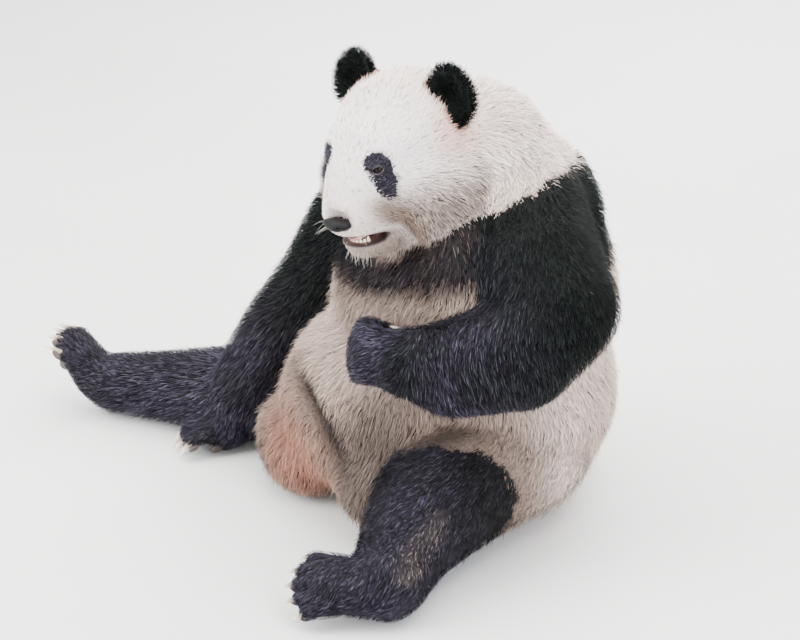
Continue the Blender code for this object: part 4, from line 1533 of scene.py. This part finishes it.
# ---------------- the coat
class Shell:
    """A grid round the skin: each cell knows the skin nearest to it, its normal and lie.

    Cells that hold skin take the mean of their points; each layer of cells outside takes
    the mean of the neighbours inside it, `reach` layers deep.
    """

    def __init__(self, skin: Skin, step: float = 8 * MM, reach: int = 7) -> None:
        """Fill the grid from the skin outward.

        Args:
            skin: the finished skin.
            step: the size of a cell.
            reach: layers of cells outside the skin.
        """
        points = skin.net.points
        self.step = step
        self.low = points.min(axis=0) - (reach + 1) * step
        self.size = np.ceil((points.max(axis=0) - self.low) / step).astype(int) + reach + 2
        rows = np.concatenate((points, skin.normals, skin.lie), axis=1)
        front, place = np.unique(self._cells(points), return_inverse=True)
        values = self._means(rows, place.ravel(), len(front))
        self.row_of = np.full(int(np.prod(self.size)), -1)
        self.row_of[front] = np.arange(len(front))
        layers = [values]
        made = len(front)
        steps = np.array((1, self.size[2], self.size[1] * self.size[2]))
        offsets = np.concatenate((steps, -steps))
        for _ in range(reach):
            beside = (front[:, None] + offsets).ravel()
            source = np.repeat(np.arange(len(front)), len(offsets))
            empty = self.row_of[beside] < 0
            front, place = np.unique(beside[empty], return_inverse=True)
            values = self._means(values[source[empty]], place.ravel(), len(front))
            self.row_of[front] = made + np.arange(len(front))
            layers.append(values)
            made += len(front)
        self.rows = np.concatenate(layers)

    def _cells(self, points: Array) -> Array:
        """Return the number of the cell that holds each point."""
        place = np.clip(((points - self.low) / self.step).astype(int), 0, self.size - 1)
        return (place[:, 0] * self.size[1] + place[:, 1]) * self.size[2] + place[:, 2]

    @staticmethod
    def _means(rows: Array, place: Array, count: int) -> Array:
        """Return the mean of the rows that share each place."""
        total = np.maximum(np.bincount(place, minlength=count), 1)
        sums = [np.bincount(place, rows[:, at], count) for at in range(rows.shape[1])]
        return np.stack(sums, axis=1) / column(total)

    def sample(self, points: Array, fallback: Array) -> tuple[Array, Array, Array]:
        """Return skin place, normal and lie near each point.

        Args:
            points: places near the skin.
            fallback: rows of place, normal and lie for points out of the grid's reach.

        Returns:
            The three arrays.
        """
        at = self.row_of[self._cells(points)]
        rows = np.where(column(at) >= 0, self.rows[at], fallback)
        return rows[:, 0:3], unit(rows[:, 3:6]), rows[:, 6:9]


@dataclass
class Locks:
    """Many locks of fur, one row each: where they start and how they grow."""

    roots: Array
    normals: Array
    lies: Array
    heights: Array
    lengths: Array
    widths: Array
    clumps: Array
    tints: Array
    patches: Array
    stiffness: Array

    def chosen(self, rows: Array) -> Locks:
        """Return the locks of the given rows."""
        return Locks(*(getattr(self, name)[rows] for name in self.__dataclass_fields__))


REGIONS = {
    "head": ("head", "lower_jaw"),
    "ears": ("ear",),
    "neck": ("neck",),
    "trunk": ("trunk", "tail"),
    "arm_left": ("upper_arm_left", "forearm_left", "hand_left"),
    "arm_right": ("upper_arm_right", "forearm_right", "hand_right"),
    "leg_left": ("thigh_left", "shin_left", "foot_left"),
    "leg_right": ("thigh_right", "shin_right", "foot_right"),
}


@dataclass
class Coat:
    """The coat: tapered three-sided locks that bend over to lie along the skin."""

    skin: Skin
    markings: Markings
    share: float = 1.0  # of all the locks that are grown
    seed: int = 11
    stations: tuple[float, ...] = (0.0, 0.45, 1.0)
    girths: tuple[float, ...] = (0.85, 1.0)
    bend: float = 1.7  # how early a lock bends over
    thickness: float = 0.25  # of a lock, as a share of its width
    roundness: float = 0.35  # how far the light sees a lock's sides turn away
    most: int = 148_000  # locks in all
    stray_share: float = 0.10  # of the locks that stand proud of their neighbours
    stray_rise: float = 0.6
    # Root, middle and tip brightness: dark roots are painted shade deep in the coat; the bright tips of black
    # locks are painted sheen.
    gains: dict[str, Triple] = field(
        default_factory=lambda: {"cream": (0.84, 0.98, 1.06), "black": (0.4, 1.05, 2.6)}
    )
    patch: float = 0.003  # width of a lock on the bake map
    piece_limit: int = 195_000  # triangles in one piece
    fewest: int = 40  # locks that are worth a piece

    def build(self) -> None:
        """Grow every lock and make the pieces of the coat."""
        self.random = np.random.default_rng(self.seed)
        self.shell = Shell(self.skin)
        locks, black, owner = self._plant()
        for colour, chosen, finish in (("cream", ~black, CREAM_FUR), ("black", black, BLACK_FUR)):
            for region, families in REGIONS.items():
                members = [at for at, name in enumerate(FLESH) if name.startswith(families)]
                rows = np.flatnonzero(chosen & np.isin(owner, members))
                limit = self.piece_limit // self._faces(1).shape[0]
                parts = max(1, math.ceil(len(rows) / limit))
                for number, part in enumerate(np.array_split(rows, parts)):
                    if len(part) > self.fewest:
                        name = f"coat_{colour}_{region}" + (f"_{number + 1}" if parts > 1 else "")
                        net = self._grow(locks.chosen(part), self.gains[colour])
                        new_piece(name, net, finish)

    def _plant(self) -> tuple[Locks, Array, Array]:
        """Choose the roots: each face gets locks by its area and the coat's spacing there.

        Returns:
            The locks, whether each is black, and the solid that owns each.
        """
        skin, random = self.skin, self.random
        corners = skin.net.faces
        first, second, third = skin.net.corners
        area = np.linalg.norm(np.cross(second - first, third - first), axis=1) / 2
        spacing = skin.growth[corners, 3].mean(axis=1)
        level = skin.net.points[corners, 2].mean(axis=1)
        facing = skin.normals[corners, 2].mean(axis=1)
        pressed = ease(0.045, 0.020, level) * ease(-0.3, -0.8, facing)
        bare = skin.bare[corners].max(axis=1)
        weight = area / spacing**2 * (1 - 0.75 * pressed) * (bare < 0.5)
        count = int(min(weight.sum(), self.most) * self.share)
        marks = (np.arange(count) + random.random(count)) * (weight.sum() / count)
        face = np.minimum(np.searchsorted(np.cumsum(weight), marks), len(area) - 1)
        slide = np.sort(random.random((count, 2)), axis=1)
        mix = np.stack((slide[:, 0], slide[:, 1] - slide[:, 0], 1 - slide[:, 1]), axis=1)

        def at_roots(values: Array) -> Array:
            """Return point values mixed at each root."""
            picked = values[corners[face]]
            return np.einsum("nc,nc...->n...", mix, picked)

        growth = at_roots(skin.growth)
        owners = at_roots(skin.owners)
        roots = at_roots(skin.net.points)
        tints, black = self.markings.tint(roots, owners, random.normal(0.0, 1.0, count))
        rows = skin.net.maps[BAKE_MAP].reshape(-1, 3, 2)[face]
        patches = np.einsum("nc,nck->nk", mix, rows)
        uneven = random.uniform(0.72, 1.25, count)
        inside = self.markings.blackness(roots, owners)
        short = 1 - 0.4 * ease(-0.035, -0.010, inside) * ~black
        heights = at_roots(skin.heights) * random.uniform(0.72, 1.04, count) * short
        locks = Locks(
            roots=roots,
            normals=unit(at_roots(skin.normals)),
            lies=unit(at_roots(skin.lie)),
            heights=heights,
            lengths=np.maximum(growth[:, 1] * uneven * short, 1.25 * heights),
            widths=growth[:, 2] * random.uniform(0.75, 1.2, count),
            clumps=growth[:, 4],
            tints=tints * self._uneven_shade(roots, owners, black),
            patches=patches,
            stiffness=owners @ np.array([0.8 if name.startswith("ear") else 0.15 for name in FLESH]),
        )
        LOG.info("%d locks planted of %d", count, int(weight.sum()))
        return locks, black, owners.argmax(axis=1)

    def _uneven_shade(self, roots: Array, owners: Array, black: Array) -> Array:
        """Return each lock's own shade: some paler, some duller, in soft clouds."""
        own = self.random.normal(0.0, 1.0, len(roots))
        cloud = lattice_noise(roots, 0.025, 21)
        body = 1 - share_of(owners, "head")
        light = 0.03 + 0.50 * self.markings.jowl(roots, owners) + 0.18 * body
        pale = 1 + light * own + 0.10 * body * cloud
        # Black locks vary widely in brightness at random; the bright ones are painted sheen on single
        # strands.
        dark = np.exp(0.9 * own + 0.3 * cloud)
        return column(np.clip(np.where(black, dark, pale), 0.25, 5.0))

    def _trace(self, locks: Locks) -> tuple[Array, Array]:
        """Follow each lock from root to tip.

        At each station the lock goes on by its step along the lie, then moves along the
        skin's normal to its height there: 1 - (1 - t)^bend of the tip's.

        Args:
            locks: the locks to trace.

        Returns:
            Places and outward directions: one row of stations for each lock.
        """
        random, count = self.random, len(locks.roots)
        turn = column(random.normal(0.0, 0.16, count) * (1 + 3 * (locks.stiffness > 0.5)))
        turn += 0.35 * column(lattice_noise(locks.roots, 0.03, 31))
        heading = locks.lies * np.cos(turn) + np.cross(locks.normals, locks.lies) * np.sin(turn)
        proud = np.maximum(locks.stiffness - 0.3, 0) * random.uniform(0.4, 3.2, count)
        stray = self.stray_rise * (random.random(count) < self.stray_share)
        heights = column(locks.heights * (1 + proud + stray))
        place = locks.roots - locks.normals * 1.5 * MM
        fallback = np.concatenate((locks.roots, locks.normals, heading), axis=1)
        places, outs = [place], [locks.normals]
        last = 0.0
        for station in self.stations[1:]:
            rise = heights * (1 - (1 - station) ** self.bend)
            climbed = heights * (1 - (1 - last) ** self.bend)
            step = column(locks.lengths) * (station - last)
            along = np.sqrt(np.maximum(step**2 - (rise - climbed) ** 2, (0.3 * step) ** 2))
            guess = place + heading * along
            anchor, normal, lie = self.shell.sample(guess, fallback)
            drop = rise - dots(guess - anchor, normal)
            place = guess + normal * drop * (1 - column(locks.stiffness) * (drop < 0))
            heading = 0.75 * heading + 0.25 * lie
            heading = unit(heading - normal * dots(heading, normal))
            places.append(place)
            outs.append(normal)
            last = station
        return np.stack(places, axis=1), np.stack(outs, axis=1)

    def _clump(self, places: Array, locks: Locks) -> None:
        """Draw the tips of neighbours together, more toward the tip, in uneven cells.

        Args:
            places: the stations of each lock, which are moved.
            locks: the locks themselves.
        """
        size = 5 * MM * 2.0 ** np.round(np.log2(np.maximum(0.42 * locks.lengths, 2 * MM) / (5 * MM)))
        warp = np.stack([lattice_noise(locks.roots, 0.012, seed) for seed in (41, 42, 43)], axis=1)
        cells = np.floor((locks.roots + 0.5 * column(size) * warp) / column(size)).astype(np.int64)
        keys = ((cells[:, 0] * 4099 + cells[:, 1]) * 4099 + cells[:, 2]) * 64
        keys += np.round(np.log2(size / MM) * 4).astype(np.int64)
        _, cell = np.unique(keys, return_inverse=True)
        cell = cell.ravel()
        members = np.bincount(cell)
        pull = locks.clumps * self.random.uniform(0.5, 1.1, len(cell))
        for station, amount in ((1, 0.25), (2, 1.0)):
            total = [np.bincount(cell, places[:, station, axis]) for axis in range(3)]
            mean = np.stack(total, axis=1) / column(members)
            shift = mean[cell] - places[:, station]
            places[:, station] += column(pull * amount) * shift

    @staticmethod
    def _faces(count: int) -> Array:
        """Return the triangles of `count` locks of two rings of three and a tip."""
        ring = []
        for at in range(3):
            beside = (at + 1) % 3
            ring.append((at, 3 + beside, beside))
            ring.append((at, 3 + at, 3 + beside))
            ring.append((3 + at, 6, 3 + beside))
        ring.append((0, 1, 2))
        return (np.arange(count)[:, None, None] * 7 + np.array(ring)).reshape(-1, 3)

    def _grow(self, locks: Locks, gains: Triple) -> Net:
        """Return the locks as one net: a flat side to the skin and a ridge outward.

        Args:
            locks: the locks to grow.
            gains: how bright the root, the middle and the tip are, beside the tint: darker roots are painted
                shade deep in the coat, the bright tips of black locks painted sheen.

        Returns:
            The net, lit along the skin's own normals.
        """
        places, outs = self._trace(locks)
        self._clump(places, locks)
        places[:, :, 2] = np.maximum(places[:, :, 2], 1.5 * MM)
        count = len(locks.roots)
        ahead = unit(places[:, 1:] - places[:, :-1])
        ahead[:, 1:] = unit(ahead[:, 1:] + ahead[:, :-1])
        across = unit(np.cross(ahead, outs[:, :2]))
        over = np.cross(across, ahead)
        half = column(locks.widths)[:, :, None] * np.array(self.girths)[None, :, None] / 2
        middles = places[:, :2]
        left = middles + across * half
        right = middles - across * half
        ridge = middles + over * half * 2 * self.thickness
        rings = np.stack((right, left, ridge), axis=2).reshape(count, 6, 3)
        points = np.concatenate((rings, places[:, 2:]), axis=1).reshape(-1, 3)
        aside = across * self.roundness
        lit = np.stack((outs[:, :2] - aside, outs[:, :2] + aside, over), axis=2).reshape(count, 6, 3)
        normals = unit(np.concatenate((lit, outs[:, 2:]), axis=1)).reshape(-1, 3)
        faces = self._faces(count)
        gain = np.repeat(gains, (3, 3, 1))
        tint = np.clip(locks.tints[:, None, :] * gain[None, :, None], 0, 0.95)
        shade = np.concatenate((tint, np.ones((count, 7, 1))), axis=2).reshape(-1, 4)
        side = np.array([-0.5, 0.5, 0.0] * 2 + [0.0])
        rise = np.array([0.0] * 3 + [0.45] * 3 + [1.0]) - 0.5
        corner = np.stack((side, rise), axis=1) * self.patch
        spots = (locks.patches[:, None, :] + corner[None]).reshape(-1, 2)
        return Net(points, faces, {BAKE_MAP: spots[faces.ravel()]}, {"tint": shade}, normals)


# ---------------- eyes, nose, mouth, claws
def closed_surface(rings: Array, start: Array, end: Array, along: Array) -> Net:
    """Close rings of points into one skin with a single point at each end.

    Args:
        rings: for each ring, its points in order.
        start: the point before the first ring.
        end: the point after the last ring.
        along: a value for the start, for each ring and for the end.

    Returns:
        The net, with the value `along` on its points.
    """
    rows, columns = rings.shape[:2]
    tube = triangles_of(grid_faces(rows, columns, True) + 1)
    around = np.arange(columns)
    beside = (around + 1) % columns
    last = 1 + (rows - 1) * columns
    low = np.stack((np.zeros_like(around), beside + 1, around + 1), axis=1)
    high = np.stack((last + around, last + beside, np.full_like(around, last + columns)), axis=1)
    points = np.concatenate(([start], rings.reshape(-1, 3), [end]))
    values = np.concatenate(([along[0]], np.repeat(along[1:-1], columns), [along[-1]]))
    return outward(Net(points, np.concatenate((tube, low, high)), {}, {"along": values}))


def closed_ball(grid: Array) -> Net:
    """Return a grid of places from pole to pole as one closed net."""
    return closed_surface(grid[1:-1], grid[0, 0], grid[-1, 0], np.linspace(0, 1, len(grid)))


def outward(net: Net) -> Net:
    """Turn a closed net's faces over if they face inward, which a negative volume shows."""
    first, second, third = net.corners
    if np.einsum("nk,nk->", first, np.cross(second, third)) < 0:
        net.faces = net.faces[:, ::-1]
    return net


@dataclass
class Nose:
    """The nose pad: a blunt wedge of leather with comma nostrils and a middle groove."""

    anatomy: Anatomy
    half_width: float = 26.5 * MM
    half_depth: float = 17.0 * MM
    half_height: float = 12.0 * MM
    drop: float = 8.0 * MM  # how far the pad sits below its solid
    rings: int = 90
    sides: int = 140

    def build(self) -> None:
        """Make the pad from directions on a sphere, its poles above and below.

        Each direction reaches an ellipsoid; the sides close in downward; two pits and two
        slits behind them are Gaussian dents; a groove runs down the middle.
        """
        ways = ball(self.rings + 2, self.sides)[..., [1, 0, 2]] * (1, -1, 1)
        across, front, rise = ways[..., 0], -ways[..., 1], ways[..., 2]
        taper = 1 - 0.34 * ease(0.15, -0.95, rise)
        size = np.array((self.half_width, self.half_depth, self.half_height))
        local = ways * size
        local[..., 0] *= taper * (1 + 0.05 * ease(0.5, 0.9, np.abs(across)))
        local[..., 2] -= 0.12 * self.half_height * ease(0.5, 1.0, rise)
        local[..., 1] -= 2.0 * MM * ease(0.2, 0.9, rise) * front
        aside = np.abs(across)
        pit = bell(aside, 0.50, 0.17) * bell(rise, -0.26, 0.21)
        slit_line = rise + 0.30 - 0.55 * (aside - 0.5)
        slit = bell(slit_line, 0, 0.10) * ease(0.42, 0.6, aside)
        slit *= ease(0.98, 0.85, aside)
        groove = bell(across, 0, 0.055) * ease(0.25, -0.5, rise)
        dent = (6.5 * pit + 2.6 * slit) * ease(0.0, 0.35, front) + 1.3 * groove * ease(0.2, 0.5, front)
        local -= ways * (dent * MM)[..., None]
        axes = self._axes()
        frame = Frame(self.anatomy.centres["nose"] - self.drop * axes[2], axes)
        piece = new_piece("nose_pad", closed_ball(frame.world(local)), NOSE_LEATHER)
        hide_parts("nose")

    def _axes(self) -> Array:
        """Return the pad's axes: the face's, tipped so that its front looks a little up."""
        across, back, rise = self.anatomy.face.axes
        tip = math.radians(14)
        return np.array((across, back * math.cos(tip) - rise * math.sin(tip),
                         rise * math.cos(tip) + back * math.sin(tip)))


@dataclass
class Mouth:
    """Tongue and lower teeth, which show in the open mouth."""

    anatomy: Anatomy
    tooth_row: Triple = (0.0, -0.0300, -0.1330)
    row_radius: float = 21 * MM
    arc: float = 64.0  # degrees from the middle to a canine
    teeth: int = 8

    def build(self) -> None:
        """Make the tongue and the teeth."""
        self._tongue()
        self._teeth()

    def _tongue(self) -> None:
        """Make the tongue: a flat rounded slab with a groove down its back."""
        low, high = (np.array(corner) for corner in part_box("tongue"))
        middle = (low + high) / 2
        across, rise, length = np.moveaxis(ball(42, 60) * (1, 1, -1), 2, 0)
        groove = 1.4 * MM * bell(across, 0, 0.16) * (rise > 0)
        curl = 3.0 * MM * across**2
        thick = np.where(rise > 0, 5.0, 9.0) * MM
        local = np.stack((across * 16 * MM, length * 30 * MM, rise * thick - groove + curl), axis=2)
        frame = Frame(middle - 5 * MM * self.anatomy.face.axes[2], self.anatomy.face.axes)
        piece = new_piece("tongue_flesh", closed_ball(frame.world(local)), TONGUE_FLESH)
        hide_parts("tongue")

    def _teeth(self) -> None:
        """Make the teeth: pegs on an arc, the outer two long and pointed."""
        nets = []
        last = (self.teeth - 1) / 2
        for index in range(self.teeth):
            swing = math.radians(self.arc) * (index - last) / last
            canine = index in (0, self.teeth - 1)
            height = (13.0 if canine else 8.5) * MM
            share = np.linspace(0, 1, 10)
            girth = 3.9 * MM * (1 - share**1.6 * 0.85) if canine else 3.0 * MM * (1 - 0.35 * share**3)
            turn = whole_turn(20)
            flat = 1.0 if canine else 0.7
            ring = girth[:, None]
            rise = height * share[:, None] + 0 * turn
            local = np.stack((ring * np.cos(turn), ring * np.sin(turn) * flat, rise), axis=2)
            place = np.array(self.tooth_row)
            place = place + self.row_radius * np.array((math.sin(swing), 1 - math.cos(swing), 0))
            spin = np.array(
                ((math.cos(swing), math.sin(swing), 0), (-math.sin(swing), math.cos(swing), 0), (0, 0, 1))
            )
            world = self.anatomy.face.world(Frame(place, spin).world(local))
            start = world[0].mean(axis=0)
            end = world[-1].mean(axis=0) + self.anatomy.face.axes[2] * 0.8 * MM
            values = np.concatenate(([0.0], share, [1.0]))
            nets.append(closed_surface(world, start, end, values))
        new_piece("lower_teeth", Net.joined(nets), TOOTH_ENAMEL)


@dataclass(frozen=True)
class Tuft:
    """A few stiff hairs: the span of their roots, ways and lengths, in the face's frame."""

    hairs: int
    across: Span
    rise: Span
    aside: Span
    ahead: float
    up: Span
    length: Span


@dataclass
class Whiskers:
    """Stiff single hairs on the lips and chin."""

    skin: Skin
    lip: Tuft = Tuft(6, (0.024, 0.036), (-0.098, -0.082), (0.6, 1.0), -0.2, (-0.6, -0.2), (0.018, 0.034))
    chin: Tuft = Tuft(22, (-0.022, 0.022), (-0.155, -0.142), (-0.4, 0.4), -0.35, (-1, -0.6), (0.010, 0.022))
    seed: int = 23
    girth: float = 0.35 * MM
    steps: int = 7
    sides: int = 4

    def build(self) -> None:
        """Grow each hair from the skin: root + way L t + down L sag t^2 at the share t."""
        random = np.random.default_rng(self.seed)
        face = self.skin.anatomy.face
        tree = self.skin.net.tree
        starts, ways, lengths = [], [], []
        for side, tuft in ((1, self.lip), (-1, self.lip), (1, self.chin)):
            for _ in range(tuft.hairs):
                starts.append((side * random.uniform(*tuft.across), -0.12, random.uniform(*tuft.rise)))
                ways.append((side * random.uniform(*tuft.aside), tuft.ahead, random.uniform(*tuft.up)))
                lengths.append(random.uniform(*tuft.length))
        nets = []
        ahead = Vector(face.axes[1])
        for start, way, length in zip(starts, ways, lengths):
            root = tree.ray_cast(Vector(face.world(np.array([start]))[0]), ahead)[0]
            if root is not None:
                nets.append(self._hair(np.array(root), unit(np.array(way)) @ face.axes, length))
        new_piece("whiskers", Net.joined(nets), WHISKER)

    def _hair(self, root: Array, way: Array, length: float) -> Net:
        """Return one hair, a tapering tube of square section.

        Args:
            root: its place on the skin.
            way: its unit direction there.
            length: its length.

        Returns:
            The closed net.
        """
        share = np.linspace(-0.1, 1, self.steps)
        line = root + way * column(share * length) - UP * column(0.18 * length * share**2)
        across = unit(np.cross(way, UP))
        over = np.cross(across, way)
        turn = whole_turn(self.sides)[None, :, None]
        radius = self.girth / 2 * (1.15 - share)[:, None, None]
        rings = line[:, None] + radius * (np.cos(turn) * across + np.sin(turn) * over)
        values = np.concatenate(([0], np.clip(share, 0, 1), [1]))
        return closed_surface(rings, line[0] - way * 0.5 * MM, line[-1] + way * 0.5 * MM, values)


@dataclass
class Claw:
    """One claw: a curved horn cone on the line of its solid."""

    anatomy: Anatomy
    paw: str
    number: int
    root_radius: float = 5.0 * MM
    buried: float = 0.45  # share of the visible length that goes on into the toe

    def build(self) -> None:
        """Fit a parabola through the solid's points and carry a tapering oval along it."""
        name = f"claw_{self.paw}_{self.number}"
        curve = claw_curve(self.anatomy.nets[name].points, self.anatomy.centres[self.paw])
        steps = np.linspace(-self.buried, 1.0, 26)
        line = np.stack([np.polyval(fit, steps) for fit in curve], axis=1)
        ahead = unit(np.gradient(line, axis=0))
        over = -unit(np.array([fit[0] for fit in curve]))
        across = unit(np.cross(ahead, over))
        rise = np.cross(across, ahead)
        taper = np.clip((1 - steps) / (1 + self.buried), 0, 1)
        radius = self.root_radius * np.minimum(1.0, 1.25 * taper**0.62)
        turn = whole_turn(20)
        line[:, 2] = np.maximum(line[:, 2], 1.12 * radius + 0.3 * MM)
        ring = (
            line[:, None, :]
            + across[:, None, :] * (radius[:, None] * 0.78 * np.cos(turn))[..., None]
            + rise[:, None, :] * (radius[:, None] * 1.12 * np.sin(turn))[..., None]
        )[1:-1]
        net = closed_surface(ring, line[0], line[-1], np.clip(steps, 0, 1))
        piece = new_piece(name + "_horn", net, CLAW_HORN)
        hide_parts(name)


# ---------------- studio
def aimed(thing: Thing, place: Vector, target: Vector) -> None:
    """Stand a lamp or camera at a place and turn it to look at a target."""
    thing.location = place
    thing.rotation_mode = "QUATERNION"
    thing.rotation_quaternion = (target - place).to_track_quat("-Z", "Y")


@dataclass
class Studio:
    """A pale floor, soft lights and the camera."""

    azimuth: float = 50.0  # degrees that the camera stands round to the animal's left
    elevation: float = 24.0
    distance: float = 5.0
    aim: Triple = (0.1159, 0.0379, -0.0976)  # from the middle of the box
    lens: float = 128.57
    floor_radius: float = 14.0

    def build(self) -> None:
        """Make floor, lights, world and camera."""
        self._floor()
        self._lights()
        self._camera()

    def _floor(self) -> None:
        """Lay the floor: a flat disc of rings."""
        turn = whole_turn(64)
        rows = np.linspace(0.2, self.floor_radius, 8)[:, None]
        ring = np.stack((rows * np.cos(turn), rows * np.sin(turn), np.zeros((8, 64))), axis=2)
        points = np.concatenate((ring.reshape(-1, 3), [(0, 0, 0)]))
        around = np.arange(64)
        hub = np.stack((np.full(64, 512), (around + 1) % 64, around), axis=1)
        net = Net(points, np.concatenate((triangles_of(grid_faces(8, 64, True)), hub)))
        floor = placed("studio_floor", net.mesh("studio_floor"))
        floor.data.materials.append(PLASTER_FLOOR.material())
        floor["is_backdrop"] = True

    @staticmethod
    def _lamp(name: str, place: tuple, size: float, power: float, colour: str) -> None:
        """Hang a square soft light that looks at the animal."""
        lamp = bpy.data.lights.new(name, "AREA")
        lamp.shape = "SQUARE"
        lamp.size = size
        lamp.energy = power
        lamp.color = linear(colour)
        aimed(placed(name, lamp), Vector(place), Vector((0, 0, 0.4)))

    def _lights(self) -> None:
        """Hang a wide light overhead, a key before the face, a fill and a back light."""
        self._lamp("overhead", (0.3, 0.2, 3.4), 4.0, 400.0, "FFFDF8")
        self._lamp("key", (-1.2, -3.2, 2.6), 2.8, 340.0, "FFFFFF")
        self._lamp("fill", (4.2, -0.6, 2.0), 2.8, 225.0, "F4F7FF")
        self._lamp("back", (-1.4, 2.8, 2.2), 2.4, 220.0, "FFFFFF")
        self._lamp("spark", (0.86, -2.4, 0.5), 0.5, 22.0, "FFFFFF")
        world = bpy.data.worlds.new("studio_world")
        world.use_nodes = True
        back = world.node_tree.nodes["Background"]
        back.inputs["Color"].default_value = (*linear("E9ECF0"), 1.0)
        back.inputs["Strength"].default_value = 1.5
        bpy.context.scene.world = world

    def _camera(self) -> None:
        """Stand the camera at its angles and distance from the aim."""
        low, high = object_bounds()
        aim = (low + high) / 2 + Vector(self.aim)
        turn, rise = math.radians(self.azimuth), math.radians(self.elevation)
        back = Vector((math.sin(turn) * math.cos(rise), -math.cos(turn) * math.cos(rise), math.sin(rise)))
        camera = bpy.data.cameras.new("camera")
        camera.lens = self.lens
        camera.sensor_width = 36.0
        camera.clip_end = 100.0
        bpy.context.scene.camera = placed("camera", camera)
        aimed(bpy.context.scene.camera, aim + back * self.distance, aim)


def main() -> None:
    """Build the panda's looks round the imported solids."""
    logging.basicConfig(level=logging.INFO, format="%(name)s: %(message)s")
    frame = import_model()
    anatomy = Anatomy(frame["nodes"])
    groom = Groom(anatomy)
    markings = Markings(anatomy)
    studio = Studio()
    studio.build()
    skin = Skin(anatomy, groom, markings)
    skin.build()
    Coat(skin, markings, share=1.0).build()
    for side in Side:
        EyeSocket(anatomy, side).build()
    Nose(anatomy).build()
    Mouth(anatomy).build()
    Whiskers(skin).build()
    groom.paws.build()
    for paw in Paws.NAMES:
        for number in range(1, 6):
            Claw(anatomy, paw, number).build()


if __name__ == "__main__":
    main()
